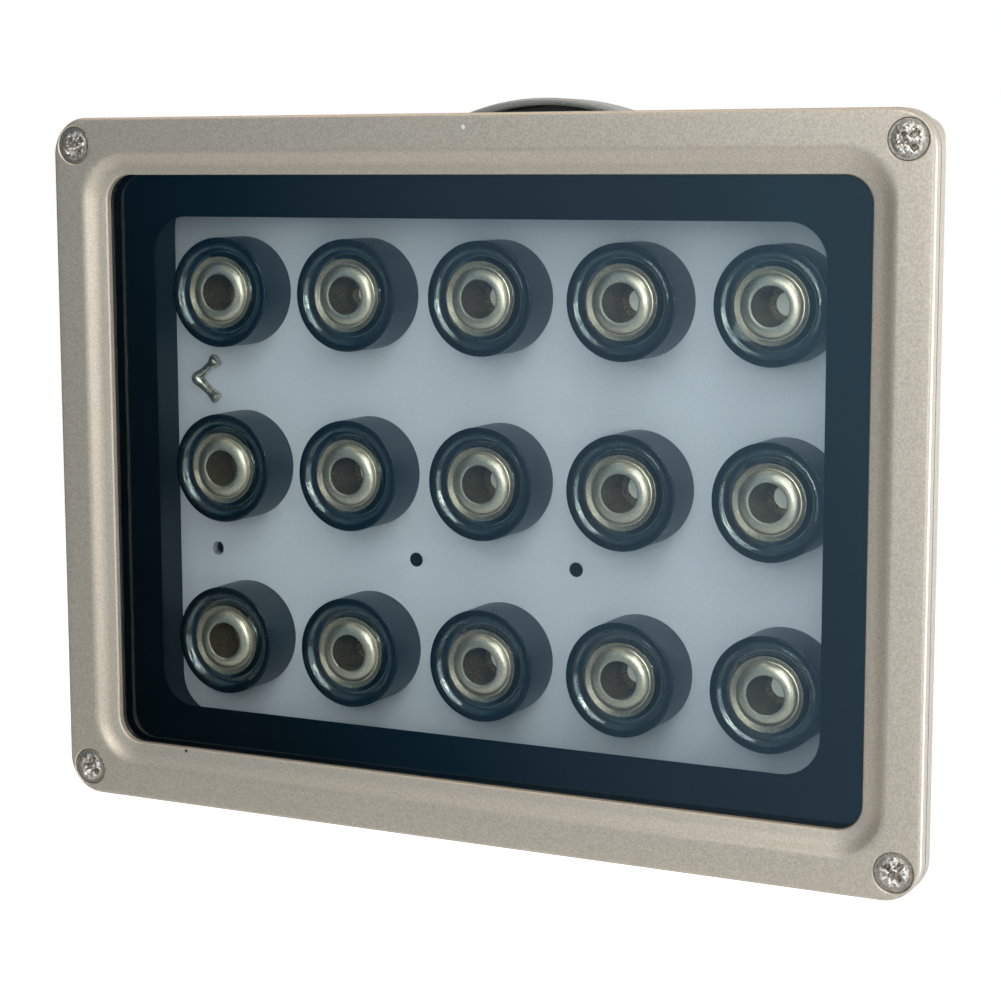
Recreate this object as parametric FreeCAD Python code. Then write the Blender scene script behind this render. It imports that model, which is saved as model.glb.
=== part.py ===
import FreeCAD, Part
import math
import os
from FreeCAD import Vector as V

# Infrared illuminator on a wall bracket. Millimetres, +Z up, origin at the centre of the
# wall plate's back face. The wall is the plane y = 0 and the lamp faces -Y.

# Lamp front
FRONT_W = 186.0
FRONT_H = 141.0
FRONT_CORNER_R = 7.5
BEZEL_EDGE_T = 2.6
BEZEL_EDGE_FILLET = 0.8
FRAME_X = 11.7
FRAME_Z = 11.5
FLAT_BAND_W = 7.4
BEND_CORNER_R = 9.6
BEND_FILLET = 3.2
OPENING_LIP_D = 1.9
LIP_FILLET = 0.45
SEAL_T = 0.4
SEAL_INSET = 0.25
SEAL_BAND_W = 3.2
FLANGE_T = 3.2
FLANGE_FILLET = 0.8

# Glass and its printed border
GLASS_T = 3.0
GLASS_OVERLAP = 3.6
GLASS_FRONT_D = 3.2
GLASS_CORNER_R = 7.0
PRINT_T = 0.06
PRINT_GAP = 0.02
BORDER_X = 9.3
BORDER_Z = 8.4
WINDOW_CORNER_R = 7.5
PRINT_EDGE_GAP = 0.08
GASKET_T = 1.0
GASKET_BAND_W = 2.6
POCKET_GAP = 0.4

# Board and emitters
HOLDER_FRONT_D = 10.7
HOLDER_H = 10.0
HOLDER_R = 11.2
HOLDER_FOOT_R = 11.45
HOLDER_FOOT_H = 0.8
HOLDER_RIM_T = 1.15
HOLDER_WELL_D = 6.9
HOLDER_EDGE_CHAMFER = 0.25
COLUMNS = 5
ROWS = 3
ARRAY_MARGIN_X = 5.65
ARRAY_MARGIN_Z = 7.9
ARRAY_DROP = 1.0
LENS_RECESS = 0.35
LENS_LIP_W = 0.4
LENS_DISH = 0.35
LENS_DISH_SLOPE = 0.25
LENS_EDGE_T = 1.6
LENS_NECK_T = 2.7
LENS_T = 5.7
LENS_FIT = 0.05
LENS_SEAT_W = 1.55
LENS_CONE_GAP = 0.2
LENS_CONE_ANGLE = 31.0
SLEEVE_R = 6.25
SLEEVE_BORE_R = 3.75
SLEEVE_FIT = 0.06
SLEEVE_PROUD = 0.2
SLEEVE_FALL = 0.65
SLEEVE_FLOOR_T = 0.4
SLEEVE_BEVEL = 0.45
DIE_R = 2.25
DIE_H = 0.2
BOARD_T = 2.0
BOARD_EDGE_GAP = 0.4
BOARD_HOLE_R = 1.45
BOARD_HOLE_PITCHES = [(-2.26, -0.515), (-0.655, -0.49), (0.545, -0.475)]
BOARD_SCREW_HEAD_DEPTH = 0.8
BOARD_SCREW_SHANK_R = 0.95
BOARD_SCREW_L = 8.0
BOARD_SCREW_FIT = 0.05
BOARD_POST_R = 3.4
LINK_START = (-6.6, -14.3)
LINK_BEND = (-11.8, 17.1)
LINK_END = (-6.5, 13.2)
LINK_WIRE_R = 0.8
LINK_BLOB_R = 1.25

# Inner frame and housing
SHIELD_X = 4.5
SHIELD_Z = 3.5
SHIELD_CORNER_R = 8.0
CAVITY_OVERLAP = 0.2
CAVITY_CORNER_R = 6.0
SHIELD_FIT = 0.3
SHIELD_TOP_GAP = 0.08
BOARD_LEDGE_X = 6.5
BOARD_LEDGE_Z = 7.2
BACK_CAVITY_D = 10.4
FLOOR_T = 3.0
SHOULDER_INSET = 5.6
BACK_INSET_X = 9.75
BACK_INSET_Z = 10.0
BACK_CORNER_R = 9.0
BACK_EDGE_FILLET = 2.0
FIN_H = 5.0
FIN_END_SLOPE = 3.0
FIN_CLEAR = 3.0
FIN_ROOT_T = 2.6
FIN_TIP_T = 1.6
FIN_PITCH = 9.0
FIN_MARGIN_X = 8.0
FIN_MARGIN_Z = 7.5
PAD_W = 46.0
PAD_H = 40.0
PAD_T = 2.0
PAD_CORNER_R = 5.0

# Bezel screws
SCREW_INSET_X = 5.1
SCREW_INSET_Z = 5.5
SCREW_HEAD_R = 3.7
SCREW_HEAD_FLAT = 0.35
SCREW_HEAD_DEPTH = 2.2
SCREW_SHANK_R = 1.7
SCREW_L = 7.8
SCREW_FIT = 0.08
SCREW_SINK = 0.2
CROSS_W = 0.9
CROSS_SPAN = 4.0
CROSS_DEPTH = 1.3
POST_R = 4.0
POST_L = 2.8
HOLE_SPARE = 0.5

# Driver
DRIVER_W = 92.0
DRIVER_H = 44.0
DRIVER_T = 1.2
DRIVER_CORNER_R = 1.5
DRIVER_MARGIN = 5.0
STANDOFF_H = 2.2
STANDOFF_R = 3.0
DRIVER_SCREW_R = 1.3
DRIVER_HEAD_R = 2.5
DRIVER_HEAD_H = 1.4
DRIVER_HEAD_BEVEL = 0.6
DRIVER_EDGE = 5.0
COIL_R = 6.5
COIL_BORE_R = 3.0
COIL_H = 4.6
COIL_FILLET = 1.2
CAP_R = 3.1
CAP_H = 5.0
CHIP_W = 9.0
CHIP_H = 7.0
CHIP_T = 2.2
CHIP_CORNER_R = 0.6
PARTS_GAP = 2.0

# Cable gland
GLAND_X = 52.0
GLAND_Z = -14.0
GLAND_THREAD_R = 6.0
GLAND_BORE_R = 3.6
GLAND_HEX = 15.0
GLAND_HEX_T = 4.0
GLAND_NECK_R = 5.6
GLAND_NECK_L = 6.0
GLAND_CAP_R = 7.4
GLAND_CAP_L = 9.5
GLAND_CAP_GRIP_L = 5.2
GLAND_CAP_END_R = 5.2
GLAND_BUSH_R = 4.6
GLAND_BUSH_BORE_R = 2.7
GLAND_FIT = 0.1
GLAND_THREAD_L = 4.5
GLAND_BUSH_L = 6.0
GLAND_BUSH_SEAT = 5.0
GLAND_END_R = 3.3
GLAND_END_T = 1.6
GLAND_PAD_R = 11.0

# Wall bracket
PLATE_R = 57.0
PLATE_T = 3.0
PLATE_RIM_H = 10.0
PLATE_RIM_T = 1.6
PLATE_EDGE_FILLET = 0.7
PLATE_PCD = 84.0
PLATE_HOLES = 4
PLATE_HOLE_TURN = 45
PLATE_HOLE_R = 2.6
COVER_GAP = 0.3
COVER_SINK = 3.2
COVER_T = 1.5
COVER_HOLE_R = 4.6
BOSS_R = 15.0
BOSS_H = 14.0
BOSS_FILLET = 1.0
STUD_R = 6.0
STUD_FIT = 0.05
RETAINER_R = 10.0
RETAINER_T = 1.6
RETAINER_WELL_R = 11.0
RETAINER_WELL_D = 4.0
RETAINER_SCREW_R = 2.0
RETAINER_HEAD_R = 4.0
RETAINER_HEAD_H = 1.6
RETAINER_SCREW_L = 9.0
TURN_GAP = 0.3
COLLAR_T = 3.5
COLLAR_R = 14.0
COLLAR_FILLET = 1.2
PIVOT_Y = -28.8
LAMP_RISE = -18.3
LUG_R = 10.0
LUG_T = 10.0
ARM_LUG_X = 4.0
FRICTION_T = 2.0
FRICTION_R = 9.5
BOLT_R = 3.0
BOLT_FIT = 0.05
BOLT_HEX = 10.0
BOLT_HEAD_T = 4.0
BOLT_FLANGE_R = 6.5
BOLT_FLANGE_T = 1.2
NUT_HEX = 10.0
NUT_T = 5.0
BOLT_TIP = 1.5
FOOT_W = 40.0
FOOT_H = 34.0
FOOT_T = 4.0
FOOT_CORNER_R = 5.0
FOOT_FILLET = 1.0
FOOT_SCREW_X = 14.5
FOOT_SCREW_Z = 11.5
FOOT_SCREW_R = 1.9
FOOT_HEAD_R = 3.4
FOOT_HEAD_H = 2.6
FOOT_HEAD_BEVEL = 0.4
FOOT_SOCKET = 3.0
FOOT_SOCKET_DEPTH = 1.5
FOOT_SCREW_L = 8.0
LUG_FILLET = 2.0
CLAMP_Y = -11.0
CLAMP_SCREW_R = 2.0
CLAMP_HEAD_R = 3.8
CLAMP_HEAD_L = 7.0
CLAMP_HEAD_GAP = 0.5
CLAMP_FLUTES = 10
CLAMP_FLUTE_R = 0.8

# How far a cutting tool runs past a face, and how far two joined forms run into each other
PAST = 1.0
INTO = 0.5

# Places worked out from the sizes above; depths run back from the lamp's front plane
FLANGE_FRONT_D = BEZEL_EDGE_T + SEAL_T
FLANGE_BACK_D = FLANGE_FRONT_D + FLANGE_T
OPENING_W = FRONT_W - 2 * FRAME_X
OPENING_H = FRONT_H - 2 * FRAME_Z
OPENING_CORNER_R = BEND_CORNER_R - (FRAME_X - FLAT_BAND_W)
GLASS_W = OPENING_W + 2 * GLASS_OVERLAP
GLASS_H = OPENING_H + 2 * GLASS_OVERLAP
GLASS_BACK_D = GLASS_FRONT_D + GLASS_T
WINDOW_W = OPENING_W - 2 * BORDER_X
WINDOW_H = OPENING_H - 2 * BORDER_Z
PRINT_D = GLASS_BACK_D + PRINT_GAP
LEDGE_D = GLASS_BACK_D + GASKET_T
SCREW_X = FRONT_W / 2 - SCREW_INSET_X
SCREW_Z = FRONT_H / 2 - SCREW_INSET_Z
SHIELD_CLEAR_W = OPENING_W - 2 * SHIELD_X
SHIELD_CLEAR_H = OPENING_H - 2 * SHIELD_Z
PITCH_X = (SHIELD_CLEAR_W - 2 * (ARRAY_MARGIN_X + HOLDER_FOOT_R)) / (COLUMNS - 1)
PITCH_Z = (SHIELD_CLEAR_H - 2 * (ARRAY_MARGIN_Z + HOLDER_FOOT_R)) / (ROWS - 1)
BOARD_HOLES = [(across * PITCH_X, up * PITCH_Z - ARRAY_DROP) for across, up in BOARD_HOLE_PITCHES]
BOARD_SCREWED = BOARD_HOLES[1:]
CAVITY_W = OPENING_W + 2 * CAVITY_OVERLAP
CAVITY_H = OPENING_H + 2 * CAVITY_OVERLAP
BACK_CAVITY_W = CAVITY_W - 2 * BOARD_LEDGE_X
BACK_CAVITY_H = CAVITY_H - 2 * BOARD_LEDGE_Z
BACK_W = FRONT_W - 2 * BACK_INSET_X
BACK_H = FRONT_H - 2 * BACK_INSET_Z
DRIVER_Z = BACK_CAVITY_H / 2 - DRIVER_MARGIN - DRIVER_H / 2
BOARD_D = HOLDER_FRONT_D + HOLDER_H
BOARD_BACK_D = BOARD_D + BOARD_T
FLOOR_D = BOARD_BACK_D + BACK_CAVITY_D
BACK_D = FLOOR_D + FLOOR_T
PAD_D = BACK_D + PAD_T
FOOT_D = PAD_D + FOOT_T
WELL_R = HOLDER_R - HOLDER_RIM_T
LENS_R = WELL_R - LENS_FIT
LENS_FRONT_D = HOLDER_FRONT_D + LENS_RECESS
LENS_BODY_R = WELL_R - LENS_SEAT_W - LENS_CONE_GAP
SLEEVE_FRONT_D = HOLDER_FRONT_D - SLEEVE_PROUD
LAMP_X = ARM_LUG_X + LUG_T + FRICTION_T + TURN_GAP
LAMP_BACK_GAP = 1.0
LAMP_Y = PIVOT_Y - (FOOT_D + LAMP_BACK_GAP + LUG_R)
LAMP_PLACE = V(LAMP_X, LAMP_Y, LAMP_RISE)
FOOT_Z = -LAMP_RISE


def save(name, shape):
    """Write one sub-part, in the object's own frame."""
    shape.exportStep("parts/" + name + ".step")


def save_lamp(name, shape):
    """Write a sub-part that was drawn about the lamp's own centre and front plane."""
    moved = shape.copy()
    moved.translate(LAMP_PLACE)
    save(name, moved)


def round_rect(w, h, r, d, x=0.0, z=0.0):
    """Rounded rectangle in the plane y = d, as one closed wire."""
    a, b = w / 2 - r, h / 2 - r
    edges = []
    for cx, cz, start in ((a, b, 0), (-a, b, 90), (-a, -b, 180), (a, -b, 270)):
        c = V(x + cx, d, z + cz)
        points = []
        for turn in (start, start + 45, start + 90):
            t = math.radians(turn)
            points.append(c + V(r * math.cos(t), 0, r * math.sin(t)))
        edges.append(Part.Arc(*points).toShape())
    wires = []
    for i, arc in enumerate(edges):
        after = edges[(i + 1) % 4]
        wires.append(arc)
        wires.append(Part.LineSegment(arc.valueAt(arc.LastParameter),
                                      after.valueAt(after.FirstParameter)).toShape())
    return Part.Wire(wires)


def plate(w, h, r, d0, d1, x=0.0, z=0.0):
    """Flat plate with rounded corners between two depths."""
    return Part.Face(round_rect(w, h, r, d0, x, z)).extrude(V(0, d1 - d0, 0))


def frame(outer, inner, d0, d1):
    """Flat ring between two rounded rectangles, each (width, height, corner radius)."""
    hole = Part.Wire(round_rect(*inner, d0).Edges)
    face = Part.Face([round_rect(*outer, d0), hole])
    face.validate()
    return face.extrude(V(0, d1 - d0, 0))


def rod(r, x, z, d0, d1):
    """Cylinder along Y between two depths."""
    return Part.makeCylinder(r, d1 - d0, V(x, d0, z), V(0, 1, 0))


def cone(r0, r1, x, z, d0, d1):
    return Part.makeCone(r0, r1, d1 - d0, V(x, d0, z), V(0, 1, 0))


def turned(profile, x, z):
    """Solid of revolution about the line through (x, z) along Y, from (radius, depth) points."""
    points = [V(r, d, 0) for r, d in profile]
    face = Part.Face(Part.makePolygon(points + points[:1]))
    solid = face.revolve(V(0, 0, 0), V(0, 1, 0), 360)
    solid.translate(V(x, 0, z))
    return solid


def hexagon(flats, x, z, d0, d1):
    """Hexagonal prism along Y."""
    r = flats / math.sqrt(3)
    corners = [V(x + r * math.cos(math.radians(60 * k)), d0, z + r * math.sin(math.radians(60 * k)))
               for k in range(7)]
    return Part.Face(Part.makePolygon(corners)).extrude(V(0, d1 - d0, 0))


def edges_on_plane(shape, d):
    """Edges that lie wholly in the plane y = d."""
    return [e for e in shape.Edges
            if all(abs(v.Point.y - d) < 1e-6 for v in e.Vertexes)
            and abs(e.CenterOfMass.y - d) < 1e-6]


def corner_places():
    return [(sx * SCREW_X, sz * SCREW_Z) for sx in (-1, 1) for sz in (-1, 1)]


def emitter_places():
    """(row, column, x, z) of each emitter, counted from the top left."""
    places = []
    for row in range(ROWS):
        for column in range(COLUMNS):
            x = (column - (COLUMNS - 1) / 2) * PITCH_X
            z = ((ROWS - 1) / 2 - row) * PITCH_Z - ARRAY_DROP
            places.append((row + 1, column + 1, x, z))
    return places


def front_bezel():
    """Die-cast frame: flat band, soft bend, slope down to a thin lip round the glass."""
    body = plate(FRONT_W, FRONT_H, FRONT_CORNER_R, 0, BEZEL_EDGE_T)
    body = body.makeFillet(BEZEL_EDGE_FILLET, edges_on_plane(body, 0))
    rib = plate(GLASS_W, GLASS_H, GLASS_CORNER_R, BEZEL_EDGE_T / 2, GLASS_FRONT_D)
    body = body.fuse(rib)
    slope = (OPENING_LIP_D + BEND_FILLET / 4) / (FRAME_X - FLAT_BAND_W)
    above = BEND_FILLET / 4
    outer = round_rect(FRONT_W - 2 * (FLAT_BAND_W - above / slope),
                       FRONT_H - 2 * (FRAME_Z - FRAME_X + FLAT_BAND_W - above / slope),
                       BEND_CORNER_R + above / slope, -above)
    inner = round_rect(OPENING_W, OPENING_H, OPENING_CORNER_R, OPENING_LIP_D)
    funnel = Part.makeLoft([outer, inner], True, True)
    body = body.cut(funnel)
    body = body.cut(plate(OPENING_W, OPENING_H, OPENING_CORNER_R, OPENING_LIP_D, GLASS_FRONT_D + PAST))
    body = body.removeSplitter()
    outer_x = FRONT_W / 2 - BEZEL_EDGE_FILLET - INTO
    outer_z = FRONT_H / 2 - BEZEL_EDGE_FILLET - INTO
    bend = [e for e in edges_on_plane(body, 0)
            if abs(e.CenterOfMass.x) < outer_x and abs(e.CenterOfMass.z) < outer_z]
    body = body.makeFillet(BEND_FILLET, bend)
    body = body.makeFillet(LIP_FILLET, edges_on_plane(body, OPENING_LIP_D))
    head_r, shank_r = SCREW_HEAD_R + SCREW_FIT, SCREW_SHANK_R + SCREW_FIT
    flat_d = SCREW_SINK + SCREW_HEAD_FLAT
    for x, z in corner_places():
        body = body.cut(rod(shank_r + SCREW_FIT, x, z, -PAST, BEZEL_EDGE_T + PAST))
        body = body.cut(cone(head_r, shank_r, x, z, flat_d, SCREW_SINK + SCREW_HEAD_DEPTH))
        body = body.cut(rod(head_r, x, z, -PAST, flat_d))
    return body


def window_glass():
    return plate(GLASS_W, GLASS_H, GLASS_CORNER_R, GLASS_FRONT_D, GLASS_BACK_D)


def window_border():
    """Ink printed on the inner face, from under the lip to the clear window."""
    inset = GASKET_BAND_W + PRINT_EDGE_GAP
    outer = (GLASS_W - 2 * inset, GLASS_H - 2 * inset, GLASS_CORNER_R - inset)
    return frame(outer, (WINDOW_W, WINDOW_H, WINDOW_CORNER_R), PRINT_D, PRINT_D + PRINT_T)


def glass_gasket():
    outer = (GLASS_W, GLASS_H, GLASS_CORNER_R)
    inner = (GLASS_W - 2 * GASKET_BAND_W, GLASS_H - 2 * GASKET_BAND_W, GLASS_CORNER_R - GASKET_BAND_W)
    return frame(outer, inner, GLASS_BACK_D, LEDGE_D)


def housing_seal():
    """Flat cord between bezel and flange, notched round the screws."""
    inset = SEAL_INSET + SEAL_BAND_W
    outer = (FRONT_W - 2 * SEAL_INSET, FRONT_H - 2 * SEAL_INSET, FRONT_CORNER_R - SEAL_INSET)
    inner = (FRONT_W - 2 * inset, FRONT_H - 2 * inset, FRONT_CORNER_R - inset)
    ring = frame(outer, inner, BEZEL_EDGE_T, FLANGE_FRONT_D)
    for x, z in corner_places():
        ring = ring.cut(rod(SCREW_SHANK_R + 2 * SCREW_FIT, x, z, 0, FLANGE_BACK_D))
    return ring


def light_shield():
    """Moulded frame that lines the cavity and holds the board's edge down."""
    outer = (CAVITY_W - 2 * SHIELD_FIT, CAVITY_H - 2 * SHIELD_FIT, CAVITY_CORNER_R - SHIELD_FIT)
    inner = (SHIELD_CLEAR_W, SHIELD_CLEAR_H, SHIELD_CORNER_R)
    return frame(outer, inner, PRINT_D + PRINT_T + SHIELD_TOP_GAP, BOARD_D)


def led_board():
    board = plate(CAVITY_W - 2 * BOARD_EDGE_GAP, CAVITY_H - 2 * BOARD_EDGE_GAP,
                  CAVITY_CORNER_R - BOARD_EDGE_GAP, BOARD_D, BOARD_BACK_D)
    head_r, shank_r = BOARD_HOLE_R + BOARD_SCREW_FIT, BOARD_SCREW_SHANK_R + BOARD_SCREW_FIT
    for x, z in BOARD_HOLES:
        if (x, z) in BOARD_SCREWED:
            board = board.cut(rod(shank_r, x, z, BOARD_D - PAST, BOARD_BACK_D + PAST))
            board = board.cut(cone(head_r, shank_r, x, z, BOARD_D, BOARD_D + BOARD_SCREW_HEAD_DEPTH))
        else:
            board = board.cut(rod(BOARD_HOLE_R, x, z, BOARD_D - PAST, BOARD_BACK_D + PAST))
    return board


def board_screws():
    profile = [(0, BOARD_D), (BOARD_HOLE_R, BOARD_D),
               (BOARD_SCREW_SHANK_R, BOARD_D + BOARD_SCREW_HEAD_DEPTH),
               (BOARD_SCREW_SHANK_R, BOARD_D + BOARD_SCREW_L), (0, BOARD_D + BOARD_SCREW_L)]
    return Part.makeCompound([turned(profile, x, z) for x, z in BOARD_SCREWED])


def solder_link():
    """Thick tinned bridge lying on the board: two legs that meet in a bend, with a blob at each end."""
    places = {(row, column): (x, z) for row, column, x, z in emitter_places()}
    (left, above), (left, below) = places[(1, 1)], places[(2, 1)]
    points = [V(left + x, BOARD_D - LINK_WIRE_R, holder_z + z)
              for (x, z), holder_z in ((LINK_START, above), (LINK_BEND, below), (LINK_END, below))]
    link = Part.makeSphere(LINK_WIRE_R, points[1])
    for a, b in zip(points, points[1:]):
        link = link.fuse(Part.makeCylinder(LINK_WIRE_R, (b - a).Length, a, b - a))
    for end in (points[0], points[-1]):
        blob = Part.makeSphere(LINK_BLOB_R, end)
        link = link.fuse(blob)
    behind = rod(2 * PITCH_Z, points[1].x, points[1].z, BOARD_D, BOARD_D + 2 * LINK_BLOB_R)
    return link.cut(behind)


def lens_holder(x, z):
    """Turned cup: rim, ledge that the lens sits on, conical well and a hole for the sleeve."""
    seat_d = LENS_FRONT_D + LENS_EDGE_T
    well_r = WELL_R - LENS_SEAT_W
    floor_d = HOLDER_FRONT_D + HOLDER_WELL_D
    neck_d = LENS_FRONT_D + LENS_NECK_T
    well_foot_r = well_r - (floor_d - neck_d) * math.tan(math.radians(LENS_CONE_ANGLE))
    hole_r = SLEEVE_R + SLEEVE_FIT
    c = HOLDER_EDGE_CHAMFER
    profile = [(WELL_R, HOLDER_FRONT_D), (WELL_R, seat_d), (well_r, seat_d), (well_r, neck_d),
               (max(well_foot_r, hole_r + c), floor_d), (hole_r, floor_d), (hole_r, BOARD_D),
               (HOLDER_FOOT_R, BOARD_D), (HOLDER_FOOT_R, BOARD_D - HOLDER_FOOT_H),
               (HOLDER_R, BOARD_D - HOLDER_FOOT_H), (HOLDER_R, HOLDER_FRONT_D + c),
               (HOLDER_R - c, HOLDER_FRONT_D)]
    return turned(profile, x, z)


def lens(x, z):
    """Clear collimator ring: raised lip, dished face, flange that sits on the ledge, mirror cone below."""
    hole_r = SLEEVE_R + SLEEVE_FIT
    top = LENS_FRONT_D
    neck = top + LENS_NECK_T
    foot_r = LENS_BODY_R - (LENS_T - LENS_NECK_T) * math.tan(math.radians(LENS_CONE_ANGLE))
    profile = [(hole_r, top + LENS_DISH + LENS_DISH_SLOPE), (LENS_R - 2 * LENS_LIP_W, top + LENS_DISH),
               (LENS_R - LENS_LIP_W, top), (LENS_R, top), (LENS_R, top + LENS_EDGE_T),
               (LENS_BODY_R, top + LENS_EDGE_T), (LENS_BODY_R, neck), (foot_r, top + LENS_T),
               (hole_r, top + LENS_T)]
    return turned(profile, x, z)


def emitter_sleeve(x, z):
    """Deep-drawn metal cup: crowned rim, long bore, thin floor and the round die standing on it."""
    front = SLEEVE_FRONT_D
    shoulder = front + SLEEVE_FALL
    floor = BOARD_D - SLEEVE_FLOOR_T
    profile = [(SLEEVE_BORE_R, front), (SLEEVE_R - SLEEVE_BEVEL, shoulder),
               (SLEEVE_R, shoulder + SLEEVE_BEVEL), (SLEEVE_R, BOARD_D), (0, BOARD_D), (0, floor - DIE_H),
               (DIE_R, floor - DIE_H), (DIE_R, floor), (SLEEVE_BORE_R, floor)]
    return turned(profile, x, z)


def fins():
    """Vertical cooling fins with draft and sloped ends, cleared round the bracket pad and the gland."""
    half = BACK_H / 2 - FIN_MARGIN_Z
    root, tip = FIN_ROOT_T / 2, FIN_TIP_T / 2
    depth0, depth1 = BACK_D - FLOOR_T / 4, BACK_D + FIN_H
    section = [V(-root, depth0, -half), V(root, depth0, -half), V(tip, depth1, -half), V(-tip, depth1, -half)]
    bar = Part.Face(Part.makePolygon(section + section[:1])).extrude(V(0, 0, 2 * half))
    for side in (-1, 1):
        corner = [V(-root, depth1, side * (half - FIN_END_SLOPE)), V(-root, depth1, side * (half + PAST)),
                  V(-root, depth0, side * (half + PAST)), V(-root, depth0, side * half)]
        bar = bar.cut(Part.Face(Part.makePolygon(corner + corner[:1])).extrude(V(FIN_ROOT_T, 0, 0)))
    count = int((BACK_W / 2 - FIN_MARGIN_X) / FIN_PITCH)
    blades = []
    for k in range(-count, count + 1):
        blade = bar.copy()
        blade.translate(V(k * FIN_PITCH, 0, 0))
        blades.append(blade)
    clear = plate(PAD_W + 2 * FIN_CLEAR, PAD_H + 2 * FIN_CLEAR, PAD_CORNER_R + FIN_CLEAR,
                  BACK_D, BACK_D + FIN_H + PAST, 0, FOOT_Z)
    clear = clear.fuse(rod(GLAND_PAD_R + FIN_CLEAR, GLAND_X, GLAND_Z, BACK_D, BACK_D + FIN_H + PAST))
    return Part.makeCompound(blades).cut(clear)


def driver_screw_places():
    a, b = DRIVER_W / 2 - DRIVER_EDGE, DRIVER_H / 2 - DRIVER_EDGE
    return [(sx * a, DRIVER_Z + sz * b) for sx in (-1, 1) for sz in (-1, 1)]


def foot_screw_places():
    return [(sx * FOOT_SCREW_X, FOOT_Z + sz * FOOT_SCREW_Z) for sx in (-1, 1) for sz in (-1, 1)]


def rear_housing():
    """Die-cast box: flange, tapered shell, stepped cavity, screw posts, fins and bracket pad."""
    shell = Part.makeLoft([round_rect(FRONT_W - 2 * SHOULDER_INSET, FRONT_H - 2 * SHOULDER_INSET,
                                      BACK_CORNER_R, FLANGE_BACK_D),
                           round_rect(BACK_W, BACK_H, BACK_CORNER_R, BACK_D)], True, True)
    shell = shell.makeFillet(BACK_EDGE_FILLET, edges_on_plane(shell, BACK_D))
    body = plate(FRONT_W, FRONT_H, FRONT_CORNER_R, FLANGE_FRONT_D, FLANGE_BACK_D)
    body = body.makeFillet(FLANGE_FILLET, edges_on_plane(body, FLANGE_BACK_D))
    body = body.fuse(shell)
    for x, z in corner_places():
        body = body.fuse(rod(POST_R, x, z, FLANGE_FRONT_D, FLANGE_BACK_D + POST_L))
    body = body.fuse(fins().Solids)
    body = body.fuse(plate(PAD_W, PAD_H, PAD_CORNER_R, BACK_D - INTO, PAD_D, 0, FOOT_Z))
    body = body.fuse(rod(GLAND_PAD_R, GLAND_X, GLAND_Z, BACK_D - INTO, PAD_D))
    pocket = plate(GLASS_W + 2 * POCKET_GAP, GLASS_H + 2 * POCKET_GAP, GLASS_CORNER_R + POCKET_GAP,
                   FLANGE_FRONT_D - PAST, LEDGE_D)
    cavity = plate(CAVITY_W, CAVITY_H, CAVITY_CORNER_R, LEDGE_D - PAST, BOARD_BACK_D)
    back_cavity = plate(BACK_CAVITY_W, BACK_CAVITY_H, CAVITY_CORNER_R, BOARD_BACK_D - PAST, FLOOR_D)
    body = body.cut([pocket, cavity, back_cavity])
    bosses = [rod(BOARD_POST_R, x, z, BOARD_BACK_D, FLOOR_D + INTO) for x, z in BOARD_SCREWED]
    bosses += [rod(STANDOFF_R, x, z, FLOOR_D - STANDOFF_H, FLOOR_D + INTO) for x, z in driver_screw_places()]
    body = body.fuse(bosses)
    tip_d = SCREW_SINK + SCREW_L + HOLE_SPARE
    holes = [rod(SCREW_SHANK_R + SCREW_FIT, x, z, 0, tip_d) for x, z in corner_places()]
    tip_d = BOARD_D + BOARD_SCREW_L + HOLE_SPARE
    holes += [rod(BOARD_SCREW_SHANK_R + BOARD_SCREW_FIT, x, z, BOARD_D, tip_d) for x, z in BOARD_SCREWED]
    tip_d = FLOOR_D + FLOOR_T / 2
    holes += [rod(DRIVER_SCREW_R + BOARD_SCREW_FIT, x, z, BOARD_BACK_D, tip_d)
              for x, z in driver_screw_places()]
    tip_d = FOOT_D - FOOT_SCREW_L - HOLE_SPARE
    holes += [rod(FOOT_SCREW_R + SCREW_FIT, x, z, tip_d, PAD_D + PAST) for x, z in foot_screw_places()]
    holes.append(rod(GLAND_THREAD_R + GLAND_FIT, GLAND_X, GLAND_Z, FLOOR_D - PAST, PAD_D + PAST))
    return body.cut(holes).removeSplitter()


def cross_recess(x, z, d):
    """Two crossed slots with sloped ends, as a driver bit leaves them."""
    bars = []
    for turn in (0, 90):
        half = CROSS_SPAN / 2
        foot = half - CROSS_DEPTH
        outline = [V(-half, d - PAST, 0), V(half, d - PAST, 0), V(half, d, 0), V(foot, d + CROSS_DEPTH, 0),
                   V(-foot, d + CROSS_DEPTH, 0), V(-half, d, 0)]
        bar = Part.Face(Part.makePolygon(outline + outline[:1])).extrude(V(0, 0, CROSS_W))
        bar.translate(V(0, 0, -CROSS_W / 2))
        bar.rotate(V(0, 0, 0), V(0, 1, 0), turn)
        bar.translate(V(x, 0, z))
        bars.append(bar)
    return bars[0].fuse(bars[1])


def bezel_screws():
    top = SCREW_SINK
    profile = [(0, top), (SCREW_HEAD_R, top), (SCREW_HEAD_R, top + SCREW_HEAD_FLAT),
               (SCREW_SHANK_R, top + SCREW_HEAD_DEPTH), (SCREW_SHANK_R, top + SCREW_L), (0, top + SCREW_L)]
    screws = [turned(profile, x, z).cut(cross_recess(x, z, top)) for x, z in corner_places()]
    return Part.makeCompound(screws)


def driver_board():
    back = FLOOR_D - STANDOFF_H
    board = plate(DRIVER_W, DRIVER_H, DRIVER_CORNER_R, back - DRIVER_T, back, 0, DRIVER_Z)
    return board.cut([rod(DRIVER_SCREW_R + BOARD_SCREW_FIT, x, z, back - DRIVER_T - PAST, back + PAST)
                      for x, z in driver_screw_places()])


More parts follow.
